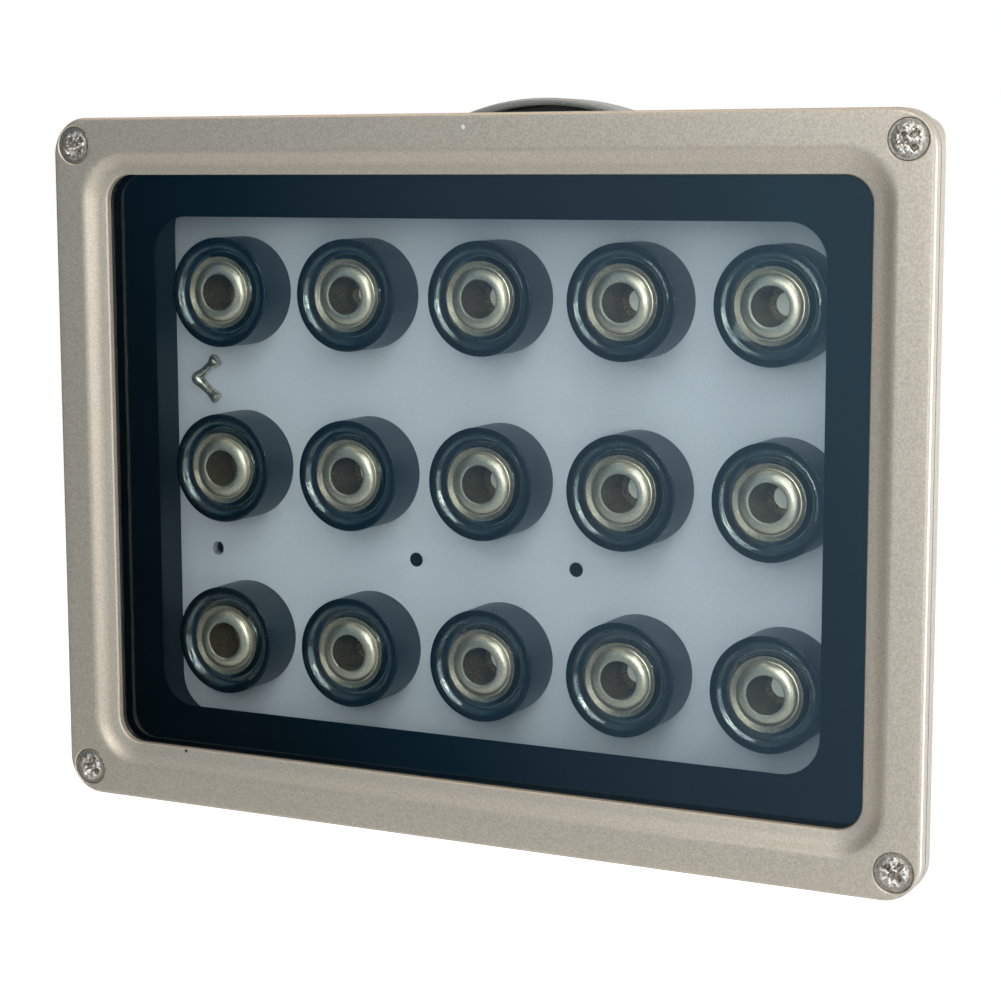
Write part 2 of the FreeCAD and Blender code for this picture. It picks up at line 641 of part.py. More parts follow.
def driver_parts():
    """Coil, two capacitors and two regulators standing on the driver board."""
    seat = FLOOR_D - STANDOFF_H - DRIVER_T
    coil = rod(COIL_R, -DRIVER_W / 4, DRIVER_Z, seat - COIL_H, seat)
    coil = coil.cut(rod(COIL_BORE_R, -DRIVER_W / 4, DRIVER_Z, seat - COIL_H - PAST, seat + PAST))
    coil = coil.makeFillet(COIL_FILLET, edges_on_plane(coil, seat - COIL_H))
    pieces = [coil]
    for k in (-1, 1):
        pieces.append(rod(CAP_R, DRIVER_W / 4, DRIVER_Z + k * (CAP_R + PARTS_GAP), seat - CAP_H, seat))
        pieces.append(plate(CHIP_W, CHIP_H, CHIP_CORNER_R, seat - CHIP_T, seat,
                            0, DRIVER_Z + k * (CHIP_H / 2 + PARTS_GAP)))
    return Part.makeCompound(pieces)


def driver_screws():
    top = FLOOR_D - STANDOFF_H - DRIVER_T
    profile = [(0, top - DRIVER_HEAD_H), (DRIVER_HEAD_R - DRIVER_HEAD_BEVEL, top - DRIVER_HEAD_H),
               (DRIVER_HEAD_R, top - DRIVER_HEAD_H / 2), (DRIVER_HEAD_R, top), (DRIVER_SCREW_R, top),
               (DRIVER_SCREW_R, FLOOR_D + FLOOR_T / 4), (0, FLOOR_D + FLOOR_T / 4)]
    return Part.makeCompound([turned(profile, x, z) for x, z in driver_screw_places()])


def gland_body():
    """Threaded nipple, hexagon and neck of the cable gland, bored through."""
    seat = PAD_D
    neck = seat + GLAND_HEX_T
    end = neck + GLAND_NECK_L
    body = rod(GLAND_THREAD_R, GLAND_X, GLAND_Z, seat - GLAND_THREAD_L, seat + INTO)
    body = body.fuse(hexagon(GLAND_HEX, GLAND_X, GLAND_Z, seat, neck))
    body = body.fuse(rod(GLAND_NECK_R, GLAND_X, GLAND_Z, neck - INTO, end))
    body = body.cut(rod(GLAND_BORE_R, GLAND_X, GLAND_Z, seat - GLAND_THREAD_L - PAST, end + PAST))
    return body.cut(rod(GLAND_BUSH_R + GLAND_FIT, GLAND_X, GLAND_Z, end - GLAND_BUSH_SEAT, end + PAST))


def gland_bush():
    start = PAD_D + GLAND_HEX_T + GLAND_NECK_L - GLAND_BUSH_SEAT
    bush = rod(GLAND_BUSH_R, GLAND_X, GLAND_Z, start, start + GLAND_BUSH_L)
    return bush.cut(rod(GLAND_BUSH_BORE_R, GLAND_X, GLAND_Z, start - PAST, start + GLAND_BUSH_L + PAST))


def gland_cap():
    """Domed cap nut that squeezes the bush."""
    start = PAD_D + GLAND_HEX_T + GLAND_FIT
    end = start + GLAND_CAP_L
    neck_r = GLAND_NECK_R + GLAND_FIT
    profile = [(neck_r, start), (GLAND_CAP_R, start), (GLAND_CAP_R, start + GLAND_CAP_GRIP_L),
               (GLAND_CAP_END_R, end), (GLAND_END_R, end), (GLAND_END_R, end - GLAND_END_T),
               (neck_r, end - GLAND_END_T)]
    return turned(profile, GLAND_X, GLAND_Z)


def lug(x0, thickness, pivot, reach):
    """Round-ended lug across X: a stadium from the pivot for the length reach along Y."""
    sign = 1 if reach > 0 else -1
    end = [V(x0, pivot.y, pivot.z + LUG_R), V(x0, pivot.y - sign * LUG_R, pivot.z),
           V(x0, pivot.y, pivot.z - LUG_R)]
    foot = [V(x0, pivot.y + reach, pivot.z - LUG_R), V(x0, pivot.y + reach, pivot.z + LUG_R)]
    edges = [Part.Arc(*end).toShape(), Part.LineSegment(end[2], foot[0]).toShape(),
             Part.LineSegment(foot[0], foot[1]).toShape(), Part.LineSegment(foot[1], end[0]).toShape()]
    return Part.Face(Part.Wire(edges)).extrude(V(thickness, 0, 0))


def cross_rod(r, pivot, x0, x1):
    """Cylinder along X through the pivot's line."""
    return Part.makeCylinder(r, x1 - x0, V(x0, pivot.y, pivot.z), V(1, 0, 0))


def bracket_foot():
    """Base plate screwed to the housing's pad, with the lamp's half of the tilt hinge."""
    pivot = V(0, FOOT_D + LAMP_BACK_GAP + LUG_R, FOOT_Z)
    base = plate(FOOT_W, FOOT_H, FOOT_CORNER_R, PAD_D, FOOT_D, 0, FOOT_Z)
    base = base.makeFillet(FOOT_FILLET, edges_on_plane(base, FOOT_D))
    tongue = lug(-LUG_T / 2, LUG_T, pivot, PAD_D + INTO - pivot.y)
    foot = base.fuse(tongue).removeSplitter()
    root = [e for e in edges_on_plane(foot, FOOT_D)
            if abs(e.CenterOfMass.x) < LUG_T / 2 + INTO and abs(e.CenterOfMass.z - FOOT_Z) < LUG_R + INTO]
    foot = foot.makeFillet(LUG_FILLET, root)
    holes = [rod(FOOT_SCREW_R + SCREW_FIT, x, z, PAD_D - PAST, FOOT_D + PAST) for x, z in foot_screw_places()]
    return foot.cut([cross_rod(BOLT_R + BOLT_FIT, pivot, -LUG_T, LUG_T)] + holes)


def foot_screws():
    top = FOOT_D + FOOT_HEAD_H
    profile = [(0, top), (FOOT_HEAD_R - FOOT_HEAD_BEVEL, top), (FOOT_HEAD_R, top - FOOT_HEAD_BEVEL),
               (FOOT_HEAD_R, FOOT_D), (FOOT_SCREW_R, FOOT_D), (FOOT_SCREW_R, FOOT_D - FOOT_SCREW_L),
               (0, FOOT_D - FOOT_SCREW_L)]
    screws = []
    for x, z in foot_screw_places():
        socket = hexagon(FOOT_SOCKET, x, z, top - FOOT_SOCKET_DEPTH, top + PAST)
        screws.append(turned(profile, x, z).cut(socket))
    return Part.makeCompound(screws)


def plate_hole_places():
    """Places of the wall screws, on their pitch circle."""
    turns = [math.radians(PLATE_HOLE_TURN + 360 / PLATE_HOLES * k) for k in range(PLATE_HOLES)]
    return [(PLATE_PCD / 2 * math.cos(t), PLATE_PCD / 2 * math.sin(t)) for t in turns]


def wall_plate():
    """Dished round plate: rim, bored boss for the swivel stud, well for its washer, four screw holes."""
    rim_r = PLATE_R - PLATE_RIM_T
    profile = [(RETAINER_WELL_R, 0), (PLATE_R, 0), (PLATE_R, -PLATE_RIM_H), (rim_r, -PLATE_RIM_H),
               (rim_r, -PLATE_T), (BOSS_R, -PLATE_T), (BOSS_R, -BOSS_H), (STUD_R + STUD_FIT, -BOSS_H),
               (STUD_R + STUD_FIT, -RETAINER_WELL_D), (RETAINER_WELL_R, -RETAINER_WELL_D)]
    body = turned(profile, 0, 0)
    body = body.makeFillet(PLATE_EDGE_FILLET, edges_on_plane(body, -PLATE_RIM_H))
    boss_edge = [e for e in edges_on_plane(body, -BOSS_H) if e.Curve.Radius > BOSS_R - INTO]
    body = body.makeFillet(BOSS_FILLET, boss_edge)
    for x, z in plate_hole_places():
        body = body.cut(rod(PLATE_HOLE_R, x, z, -PLATE_T - PAST, PAST))
    clamp = Part.makeCylinder(CLAMP_SCREW_R + SCREW_FIT, BOSS_R + PAST, V(0, CLAMP_Y, 0), V(0, 0, -1))
    return body.cut(clamp)


def plate_cover():
    """Dark inset disc that hides the plate's floor, with access holes over the wall screws."""
    front = -PLATE_RIM_H + COVER_SINK
    back = front + COVER_T
    cover = rod(PLATE_R - PLATE_RIM_T - COVER_GAP, 0, 0, front, back)
    cover = cover.cut(rod(BOSS_R + COVER_GAP, 0, 0, front - PAST, back + PAST))
    for x, z in plate_hole_places():
        cover = cover.cut(rod(COVER_HOLE_R, x, z, front - PAST, back + PAST))
    return cover


def clamp_screw():
    """Thumb screw with a fluted head, under the boss, that locks the swivel stud."""
    head_top = -(BOSS_R + CLAMP_HEAD_GAP)
    shank_l = -head_top - STUD_R - TURN_GAP
    shank = Part.makeCylinder(CLAMP_SCREW_R, shank_l, V(0, CLAMP_Y, head_top), V(0, 0, 1))
    foot = V(0, CLAMP_Y, head_top - CLAMP_HEAD_L)
    head = Part.makeCylinder(CLAMP_HEAD_R, CLAMP_HEAD_L, foot, V(0, 0, 1))
    for k in range(CLAMP_FLUTES):
        t = 2 * math.pi * k / CLAMP_FLUTES
        place = foot + V(CLAMP_HEAD_R * math.cos(t), CLAMP_HEAD_R * math.sin(t), -PAST)
        head = head.cut(Part.makeCylinder(CLAMP_FLUTE_R, CLAMP_HEAD_L, place, V(0, 0, 1)))
    return shank.fuse(head).removeSplitter()


def swivel_arm():
    """Stud, collar and the wall side's half of the tilt hinge, cast in one piece with the lug to one side."""
    pivot = V(ARM_LUG_X, PIVOT_Y, 0)
    collar_back = -BOSS_H - TURN_GAP
    stud_end = -RETAINER_WELL_D + TURN_GAP
    arm = rod(STUD_R, 0, 0, collar_back - INTO, stud_end)
    collar = rod(COLLAR_R, 0, 0, collar_back - COLLAR_T, collar_back)
    collar = collar.makeFillet(COLLAR_FILLET, edges_on_plane(collar, collar_back - COLLAR_T))
    arm = arm.fuse(collar)
    arm = arm.fuse(lug(pivot.x - LUG_T / 2, LUG_T, pivot, collar_back - INTO - PIVOT_Y))
    arm = arm.cut(cross_rod(BOLT_R + BOLT_FIT, pivot, pivot.x - LUG_T, pivot.x + LUG_T))
    screw_hole = rod(RETAINER_SCREW_R + STUD_FIT, 0, 0, stud_end - RETAINER_SCREW_L, PAST)
    return arm.cut(screw_hole).removeSplitter()


def swivel_screw():
    """Screw with a wide washer head that keeps the stud in the wall plate."""
    seat = -RETAINER_WELL_D + TURN_GAP
    washer_top = seat + RETAINER_T
    tip = seat - RETAINER_SCREW_L + HOLE_SPARE
    profile = [(0, tip), (RETAINER_SCREW_R, tip), (RETAINER_SCREW_R, seat), (RETAINER_R, seat),
               (RETAINER_R, washer_top),
               (RETAINER_HEAD_R, washer_top), (RETAINER_HEAD_R, washer_top + RETAINER_HEAD_H),
               (0, washer_top + RETAINER_HEAD_H)]
    return turned(profile, 0, 0)


def friction_disc():
    pivot = V(ARM_LUG_X, PIVOT_Y, 0)
    start = pivot.x + LUG_T / 2
    disc = cross_rod(FRICTION_R, pivot, start, start + FRICTION_T)
    return disc.cut(cross_rod(BOLT_R + BOLT_FIT, pivot, start - PAST, start + FRICTION_T + PAST))


def along_x(shape, x0, pivot):
    """Turn a shape drawn along Y so that it runs along X from x0 through the pivot's line."""
    moved = shape.copy()
    moved.rotate(V(0, 0, 0), V(0, 0, 1), -90)
    moved.translate(V(x0, pivot.y, pivot.z))
    return moved


def tilt_bolt():
    """Flanged hexagon bolt through both lugs."""
    length = LUG_T + FRICTION_T + LUG_T + 2 * TURN_GAP + BOLT_FLANGE_T + NUT_T + BOLT_TIP
    bolt = rod(BOLT_R, 0, 0, -INTO, length)
    bolt = bolt.fuse([rod(BOLT_FLANGE_R, 0, 0, -BOLT_FLANGE_T, 0),
                      hexagon(BOLT_HEX, 0, 0, -BOLT_FLANGE_T - BOLT_HEAD_T, -BOLT_FLANGE_T + INTO)])
    return along_x(bolt.removeSplitter(), ARM_LUG_X - LUG_T / 2, V(0, PIVOT_Y, 0))


def tilt_nut():
    nut = rod(BOLT_FLANGE_R, 0, 0, 0, BOLT_FLANGE_T).fuse(
        hexagon(NUT_HEX, 0, 0, BOLT_FLANGE_T - INTO, BOLT_FLANGE_T + NUT_T))
    nut = nut.cut(rod(BOLT_R + BOLT_FIT, 0, 0, -PAST, BOLT_FLANGE_T + NUT_T + PAST))
    return along_x(nut.removeSplitter(), LAMP_X + LUG_T / 2 + TURN_GAP, V(0, PIVOT_Y, 0))


os.makedirs("parts", exist_ok=True)

for make in (front_bezel, window_glass, window_border, glass_gasket, housing_seal, light_shield, led_board,
             board_screws, solder_link, rear_housing, bezel_screws, driver_board, driver_parts, driver_screws,
             gland_body, gland_bush, gland_cap, bracket_foot, foot_screws):
    save_lamp(make.__name__, make())

for row, column, x, z in emitter_places():
    save_lamp("lens_holder_%d%d" % (row, column), lens_holder(x, z))
    save_lamp("lens_%d%d" % (row, column), lens(x, z))

for row in range(1, ROWS + 1):
    sleeves = [emitter_sleeve(x, z) for r, column, x, z in emitter_places() if r == row]
    save_lamp("emitter_row_%d" % row, Part.makeCompound(sleeves))

for make in (wall_plate, plate_cover, clamp_screw, swivel_arm, swivel_screw, friction_disc, tilt_bolt, tilt_nut):
    save(make.__name__, make())
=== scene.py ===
import math

import bmesh
import bpy
from mathutils import Matrix, Vector


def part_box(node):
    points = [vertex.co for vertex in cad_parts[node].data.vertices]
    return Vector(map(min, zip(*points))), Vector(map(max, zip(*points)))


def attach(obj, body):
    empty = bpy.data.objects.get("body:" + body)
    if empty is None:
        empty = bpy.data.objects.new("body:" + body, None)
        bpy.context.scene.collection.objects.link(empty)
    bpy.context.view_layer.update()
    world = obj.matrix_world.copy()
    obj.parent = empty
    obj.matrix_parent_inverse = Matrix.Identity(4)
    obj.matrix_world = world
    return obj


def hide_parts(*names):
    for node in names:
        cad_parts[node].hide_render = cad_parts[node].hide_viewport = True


# Looks of the infrared illuminator. Metres, +Z up, the lamp faces -Y.

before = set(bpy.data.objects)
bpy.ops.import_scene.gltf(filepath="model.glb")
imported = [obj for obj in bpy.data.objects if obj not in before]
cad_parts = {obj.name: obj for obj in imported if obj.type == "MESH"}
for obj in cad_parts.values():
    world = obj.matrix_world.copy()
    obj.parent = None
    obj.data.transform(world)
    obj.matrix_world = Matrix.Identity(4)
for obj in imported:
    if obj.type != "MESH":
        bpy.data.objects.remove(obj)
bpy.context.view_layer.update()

MM = 0.001

# The lamp's own frame, read from the bezel: centre of the front and the plane of the flat band
bezel_low, bezel_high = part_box("front_bezel")
LAMP = Vector(((bezel_low.x + bezel_high.x) / 2, bezel_low.y, (bezel_low.z + bezel_high.z) / 2))
FRONT_W = bezel_high.x - bezel_low.x
FRONT_H = bezel_high.z - bezel_low.z

# Bezel section, as inset from the outer edge and depth behind the front plane
FRAME_X = 11.7 * MM
FRAME_Z = 11.5 * MM
EDGE_T = 2.6 * MM
EDGE_FILLET = 0.8 * MM
BEND_INSET = 7.2 * MM
STEEP = math.radians(34)
SHALLOW = math.radians(12)
LIP_D = 1.9 * MM
BEND_R = 2.6 * MM
DISH_R = 5.0 * MM
LIP_R = 0.45 * MM
RIB_D = 3.2 * MM
RIB_CORNER_R = 7.0 * MM
OUTER_CORNER_R = 7.5 * MM
BEND_CORNER_R = 9.6 * MM
OPENING_CORNER_R = 5.3 * MM
FILLET_STEPS = 8
EDGE_STEPS = 10

# Corner screws and their seats in the bezel
SCREW_INSET_X = 5.1 * MM
SCREW_INSET_Z = 5.5 * MM
SCREW_HEAD_R = 3.7 * MM
SCREW_HEAD_EDGE = 0.35 * MM
SCREW_HEAD_CHAMFER = 0.12 * MM
SCREW_HEAD_D = 2.2 * MM
SCREW_SHANK_R = 1.7 * MM
SEAT_GAP = 0.08 * MM
SEAT_SINK = 0.2 * MM
SEAT_LEAD = 0.25 * MM
SEAT_LEAD_D = 0.02 * MM
PAST = 1.0 * MM
SCREW_STEPS = 64
WORN_R = 2.1 * MM
UNWORN_R = 3.1 * MM

# Lens units: holder, lens and emitter sleeve, turned about one axis
COLUMNS = 5
ROWS = 3
ROUND = 96
HOLDER_R = 11.2 * MM
WELL_R = 10.05 * MM
WELL_LEAD = 0.15 * MM
WELL_LEAD_R = 0.12 * MM
RIM_R = 0.25 * MM
RIM_STEPS = 6
RIM_GROOVE = (0.62 * MM, 0.7 * MM, 0.8 * MM, 0.88 * MM)
RIM_GROOVE_D = 0.14 * MM
SEAT_D = 1.95 * MM
SEAT_R = 8.5 * MM
CONE_TOP_D = 2.35 * MM
CONE_FOOT_R = 6.6 * MM
CONE_FOOT_D = 4.7 * MM
SLEEVE_R = 6.25 * MM
SLEEVE_GAP = 0.06 * MM
SLEEVE_SKIRT_D = 1.15 * MM
BORE_R = 3.75 * MM
BORE_FLOOR_T = 0.4 * MM
DIE_T = 0.6 * MM
DIE_R = 2.25 * MM
DIE_CHAMFER_R = 0.15 * MM
DIE_CHAMFER_T = 0.05 * MM
LENS_TOP = 0.35 * MM
LENS_R = 10.0 * MM
LENS_EDGE_T = 1.58 * MM
LENS_BACK_R = 8.3 * MM
LENS_BACK_D = 1.9 * MM
LENS_TIP_R = 6.5 * MM
LENS_TIP_D = 4.0 * MM

# Places of the lens units, read from the first and the last holder and from the board
first_low, first_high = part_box("lens_holder_11")
last_low, last_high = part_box("lens_holder_%d%d" % (ROWS, COLUMNS))
ARRAY_W = last_low.x - first_low.x
ARRAY_H = first_low.z - last_low.z
HOLDER_D = first_low.y - LAMP.y
BOARD_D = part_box("led_board")[0].y - LAMP.y
HEIGHT = BOARD_D - HOLDER_D
ARRAY_CENTRE = Vector(((first_low.x + last_high.x) / 2, LAMP.y + HOLDER_D, (last_low.z + first_high.z) / 2))
LENS_GRID = (COLUMNS, ROWS, ARRAY_W, ARRAY_H)

# The solder link's bent wire
LINK_BLOB_R = 1.25 * MM
LINK_WIRE_R = 0.8 * MM

# The light of the room, by how far a ray points to its bright side: from unlit behind the camera's left
# to white at the right and above
BRIGHT_SIDE = (0.85, -0.3, 0.35)
ROOM = [(0.32, "#010204"), (0.36, "#1b3c52"), (0.388, "#336789"), (0.43, "#7ba3c4"), (0.472, "#8fbadb"),
        (0.495, "#9acdef"), (0.56, "#b6c2cc"), (0.7, "#aeaaa4"), (0.88, "#d5d1cb")]
# Metal and glass see the white backdrop behind the lamp, from where it begins at its edge
BACKDROP_SIDE = (0.35, 0.94, 0.0)
BACKDROP_EDGE = (0.0, 0.25)

# Soft lamps: name, place from the lamp's front, size, watts and colour. None is in the picture itself,
# and the pilot, which shines down the bores, doesn't mirror in the glass
LAMPS = [
    ("front", (0.1, -0.45, 0.2), (0.25, 0.25), 1.0, "#f2f7ff"),
    ("high", (0.35, -0.45, 0.5), (0.25, 0.25), 1.2, "#f2f7ff"),
    ("near", (0.17, -0.25, -0.03), (0.15, 0.15), 0.2, "#eaf2ff"),
    ("above", (-0.3, -0.1, 0.7), (0.3, 0.3), 1.3, "#ffe0c0"),
    ("side", (0.6, 0.12, -0.05), (0.4, 0.5), 4.8, "#deebff"),
    ("pilot", (0.17, -0.42, 0.08), (0.12, 0.12), 0.5, "#f6f6f4"),
]

# The floor: how far it reaches, where its front edge and its level are, and how far the camera sees it
# lifted towards white
FLOOR_REACH = 1.2
FLOOR_FRONT = -0.55
FLOOR_LEVEL = -0.26
FLOOR_LIFT = 0.75

# The photograph's viewpoint: place from the lamp's front, turns in degrees, and the focal length in
# pixels of a picture this wide
EYE = (211.87 * MM, -402.79 * MM, 60.36 * MM)
YAW, PITCH, ROLL = 26.68, 7.92, 0.13
PHOTO_PX, FOCAL_PX = 1001, 2395.7
SENSOR_MM = 36.0


def lamp_point(x, depth, z):
    """A point given in the lamp's own frame."""
    return Vector((LAMP.x + x, LAMP.y + depth, LAMP.z + z))


# Chips and specks on the paint: place in the lamp's frame, radius and colour
PAINT_MARKS = [
    (lamp_point(1.8 * MM, 0, 67.9 * MM), 0.45 * MM, "#e9e6df"),
    (lamp_point(-76.9 * MM, 0, 59.6 * MM), 0.35 * MM, "#d5cec4"),
    (lamp_point(-77.4 * MM, 0, 58.4 * MM), 0.28 * MM, "#cdc6bb"),
    (lamp_point(-64.6 * MM, 1.9 * MM, -59.6 * MM), 0.4 * MM, "#4a443d"),
]


def linear(hex_colour):
    """An sRGB hex colour as the linear colour that shaders take."""
    channels = [int(hex_colour[i:i + 2], 16) / 255 for i in (1, 3, 5)]
    return [c / 12.92 if c <= 0.04045 else ((c + 0.055) / 1.055) ** 2.4 for c in channels] + [1.0]


def node(tree, kind, inputs=None, **settings):
    """Add a node, set its options, and fill its inputs with values or links."""
    made = tree.nodes.new(kind)
    for key, value in settings.items():
        setattr(made, key, value)
    for key, value in (inputs or {}).items():
        if isinstance(value, bpy.types.NodeSocket):
            tree.links.new(value, made.inputs[key])
        else:
            made.inputs[key].default_value = value
    return made


def new_material(name):
    """An empty node material and its tree."""
    material = bpy.data.materials.new(name)
    material.use_nodes = True
    material.node_tree.nodes.clear()
    return material, material.node_tree


def surface(tree, shader):
    """Send a shader to the material's output."""
    node(tree, "ShaderNodeOutputMaterial", {"Surface": shader})


# Materials


def speckled(tree, place, size, dark, light, low=0.35, high=0.65):
    """Two colours mixed by fine noise, whose grains are about size across, and the noise itself."""
    noise = node(tree, "ShaderNodeTexNoise", {"Vector": place, "Scale": 1 / size, "Detail": 2.0})
    ramp = node(tree, "ShaderNodeMapRange",
                {"Value": noise.outputs["Fac"], "From Min": low, "From Max": high})
    colours = node(tree, "ShaderNodeMix",
                   {"Factor": ramp.outputs["Result"], "A": linear(dark), "B": linear(light)},
                   data_type="RGBA")
    return colours.outputs["Result"], noise.outputs["Fac"]


def spot(tree, place, point, radius):
    """1 inside a small spot round a point of the lamp, 0 outside, with a ragged edge."""
    distance = node(tree, "ShaderNodeVectorMath", {0: place, 1: point}, operation="DISTANCE")
    ragged = node(tree, "ShaderNodeTexNoise", {"Vector": place, "Scale": 1 / (radius * 0.8), "Detail": 1.0})
    reach = node(tree, "ShaderNodeMath", {0: ragged.outputs["Fac"], 1: radius, 2: radius * 0.5},
                 operation="MULTIPLY_ADD")
    inside = node(tree, "ShaderNodeMath", {0: reach.outputs["Value"], 1: distance.outputs["Value"]},
                  operation="GREATER_THAN")
    return inside.outputs["Value"]


def champagne_paint():
    """Satin metallic paint, sprayed on die-cast aluminium.

    The eye gets a warm grey-gold that follows the light of the room, with a fine grain and a broad soft
    gloss. Real flakes are too fine to show, so they are drawn 0.36 mm across."""
    material, tree = new_material("champagne_metallic_paint")
    place = node(tree, "ShaderNodeTexCoord").outputs["Object"]
    colour, grain = speckled(tree, place, 0.36 * MM, "#aa9f8f", "#beb3a2", 0.32, 0.68)
    for point, radius, mark in PAINT_MARKS:
        chip = spot(tree, place, point, radius)
        marked = node(tree, "ShaderNodeMix", {"Factor": chip, "A": colour, "B": linear(mark)},
                      data_type="RGBA")
        colour = marked.outputs["Result"]
    peel = node(tree, "ShaderNodeTexNoise", {"Vector": place, "Scale": 1 / (2.5 * MM), "Detail": 1.0})
    ripple = node(tree, "ShaderNodeBump",
                  {"Height": peel.outputs["Fac"], "Strength": 0.05, "Distance": 0.05 * MM})
    bump = node(tree, "ShaderNodeBump", {"Height": grain, "Strength": 0.3, "Distance": 0.03 * MM,
                                         "Normal": ripple.outputs["Normal"]})
    paint = node(tree, "ShaderNodeBsdfPrincipled",
                 {"Base Color": colour, "Metallic": 0.7, "Roughness": 0.48,
                  "Normal": bump.outputs["Normal"]})
    surface(tree, paint.outputs["BSDF"])
    return material


def clear_solid(name, tint, shadow_tint, roughness, ior):
    """A clear solid that bends what is seen through it and lets the lamps' light pass straight on."""
    material, tree = new_material(name)
    clear = node(tree, "ShaderNodeBsdfPrincipled",
                 {"Base Color": linear(tint), "Transmission Weight": 1.0, "Roughness": roughness,
                  "IOR": ior})
    through = node(tree, "ShaderNodeBsdfTransparent", {"Color": linear(shadow_tint)})
    light = node(tree, "ShaderNodeLightPath")
    mix = node(tree, "ShaderNodeMixShader", {0: light.outputs["Is Shadow Ray"], 1: clear.outputs["BSDF"],
                                             2: through.outputs["BSDF"]})
    surface(tree, mix.outputs["Shader"])
    return material


def printed_ink():
    """Blue-black ink, screen-printed on the back of the glass.

    The eye gets a deep, even border without a gloss of its own, so that only the glass mirrors the room."""
    material, tree = new_material("screen_printed_ink")
    place = node(tree, "ShaderNodeTexCoord").outputs["Object"]
    colour = speckled(tree, place, 12 * MM, "#000203", "#010406")[0]
    ink_film = node(tree, "ShaderNodeBsdfPrincipled",
                    {"Base Color": colour, "Roughness": 0.7, "Specular IOR Level": 0.05})
    surface(tree, ink_film.outputs["BSDF"])
    return material


def plain_finish(name, dark, light, grain, metallic=0.0, roughness=0.5, bump_height=0.02 * MM, bump=0.2):
    """A moulded, plated or painted finish whose colour, gloss and surface vary by a fine grain."""
    material, tree = new_material(name)
    place = node(tree, "ShaderNodeTexCoord").outputs["Object"]
    colour, grains = speckled(tree, place, grain, dark, light)
    rough = node(tree, "ShaderNodeMapRange",
                 {"Value": grains, "To Min": roughness - 0.06, "To Max": roughness + 0.06})
    relief = node(tree, "ShaderNodeBump", {"Height": grains, "Strength": bump, "Distance": bump_height})
    finish = node(tree, "ShaderNodeBsdfPrincipled",
                  {"Base Color": colour, "Metallic": metallic, "Roughness": rough.outputs["Result"],
                   "Normal": relief.outputs["Normal"]})
    surface(tree, finish.outputs["BSDF"])
    return material


def worn_screw_plate():
    """Nickel plate on steel, burred in the cross recess by drivers.

    The eye gets a grey satin head whose middle is broken up into dark pits and bright torn edges."""
    material, tree = new_material("worn_nickel_plate")
    place = node(tree, "ShaderNodeTexCoord").outputs["Object"]
    colour, grains = speckled(tree, place, 0.35 * MM, "#7c7468", "#a69d8f")
    # The four screws lie alike about the lamp's middle, so one quarter gives the distance from the axis
    from_lamp = node(tree, "ShaderNodeVectorMath", {0: place, 1: LAMP}, operation="SUBTRACT")
    quarter = node(tree, "ShaderNodeVectorMath", {0: from_lamp.outputs["Vector"]}, operation="ABSOLUTE")
    corner = (FRONT_W / 2 - SCREW_INSET_X, 0, FRONT_H / 2 - SCREW_INSET_Z)
    from_axis = node(tree, "ShaderNodeVectorMath", {0: quarter.outputs["Vector"], 1: corner},
                     operation="SUBTRACT")
    across = node(tree, "ShaderNodeVectorMath", {0: from_axis.outputs["Vector"], 1: (1, 0, 1)},
                  operation="MULTIPLY")
    radius = node(tree, "ShaderNodeVectorMath", {0: across.outputs["Vector"]}, operation="LENGTH")
    worn = node(tree, "ShaderNodeMapRange",
                {"Value": radius.outputs["Value"], "From Min": UNWORN_R, "From Max": WORN_R})
    pits = node(tree, "ShaderNodeTexNoise", {"Vector": place, "Scale": 1 / (0.8 * MM), "Detail": 3.0})
    torn = node(tree, "ShaderNodeMapRange",
                {"Value": pits.outputs["Fac"], "From Min": 0.46, "From Max": 0.6})
    bare = node(tree, "ShaderNodeMath", {0: worn.outputs["Result"], 1: torn.outputs["Result"]},
                operation="MULTIPLY")
    mix = node(tree, "ShaderNodeMix",
               {"Factor": bare.outputs["Value"], "A": colour, "B": linear("#f6f0e6")}, data_type="RGBA")
    depth = node(tree, "ShaderNodeMath", {0: worn.outputs["Result"], 1: pits.outputs["Fac"]},
                 operation="MULTIPLY")
    fine = node(tree, "ShaderNodeBump", {"Height": grains, "Strength": 0.5, "Distance": 0.06 * MM})
    relief = node(tree, "ShaderNodeBump", {"Height": depth.outputs["Value"], "Strength": 1.0,
                                           "Distance": 0.6 * MM, "Normal": fine.outputs["Normal"]})
    rough = node(tree, "ShaderNodeMapRange",
                 {"Value": bare.outputs["Value"], "To Min": 0.42, "To Max": 0.25})
    plate = node(tree, "ShaderNodeBsdfPrincipled",
                 {"Base Color": mix.outputs["Result"], "Metallic": 0.85,
                  "Roughness": rough.outputs["Result"], "Normal": relief.outputs["Normal"]})
    surface(tree, plate.outputs["BSDF"])
    return material


paint = champagne_paint()
# Toughened float glass: a sharp cool mirror of the room over a very slightly green view
glass = clear_solid("toughened_glass", "#e3ebe9", "#e6edeb", roughness=0.0, ior=1.5)
# Injection-moulded acrylic: glossy and colourless, it bends the holder behind it into rings
acrylic = clear_solid("clear_acrylic", "#e9eeea", "#eef2f0", roughness=0.02, ior=1.49)
ink = printed_ink()
# Moulded ABS: a slate-black wall with a soft gloss that shows the light falling off round it. Its colour is
# painted lighter than the rim and well of the same ABS, as painted light on the outer wall
wall_abs_painted_lighter = plain_finish("black_abs_wall_painted_lighter", "#1f2930", "#27323b", 0.25 * MM, roughness=0.4,
                              bump=0.08)
# The same ABS off a polished die, its colour painted darker than the wall as painted shade on the front rim
# and in the well: deep black, drawn only by thin bright lines on its edges
rim_abs_painted_darker = plain_finish("polished_black_abs_painted_darker", "#050708", "#090b0d", 0.25 * MM, roughness=0.13, bump=0.03)
# Aluminium deposited on plastic: a warm soft mirror behind the lens
cone_metal = plain_finish("vacuum_metallised_cone", "#cfc6b6", "#e0d8c9", 0.5 * MM, metallic=0.75,
                          roughness=0.3, bump=0.25)
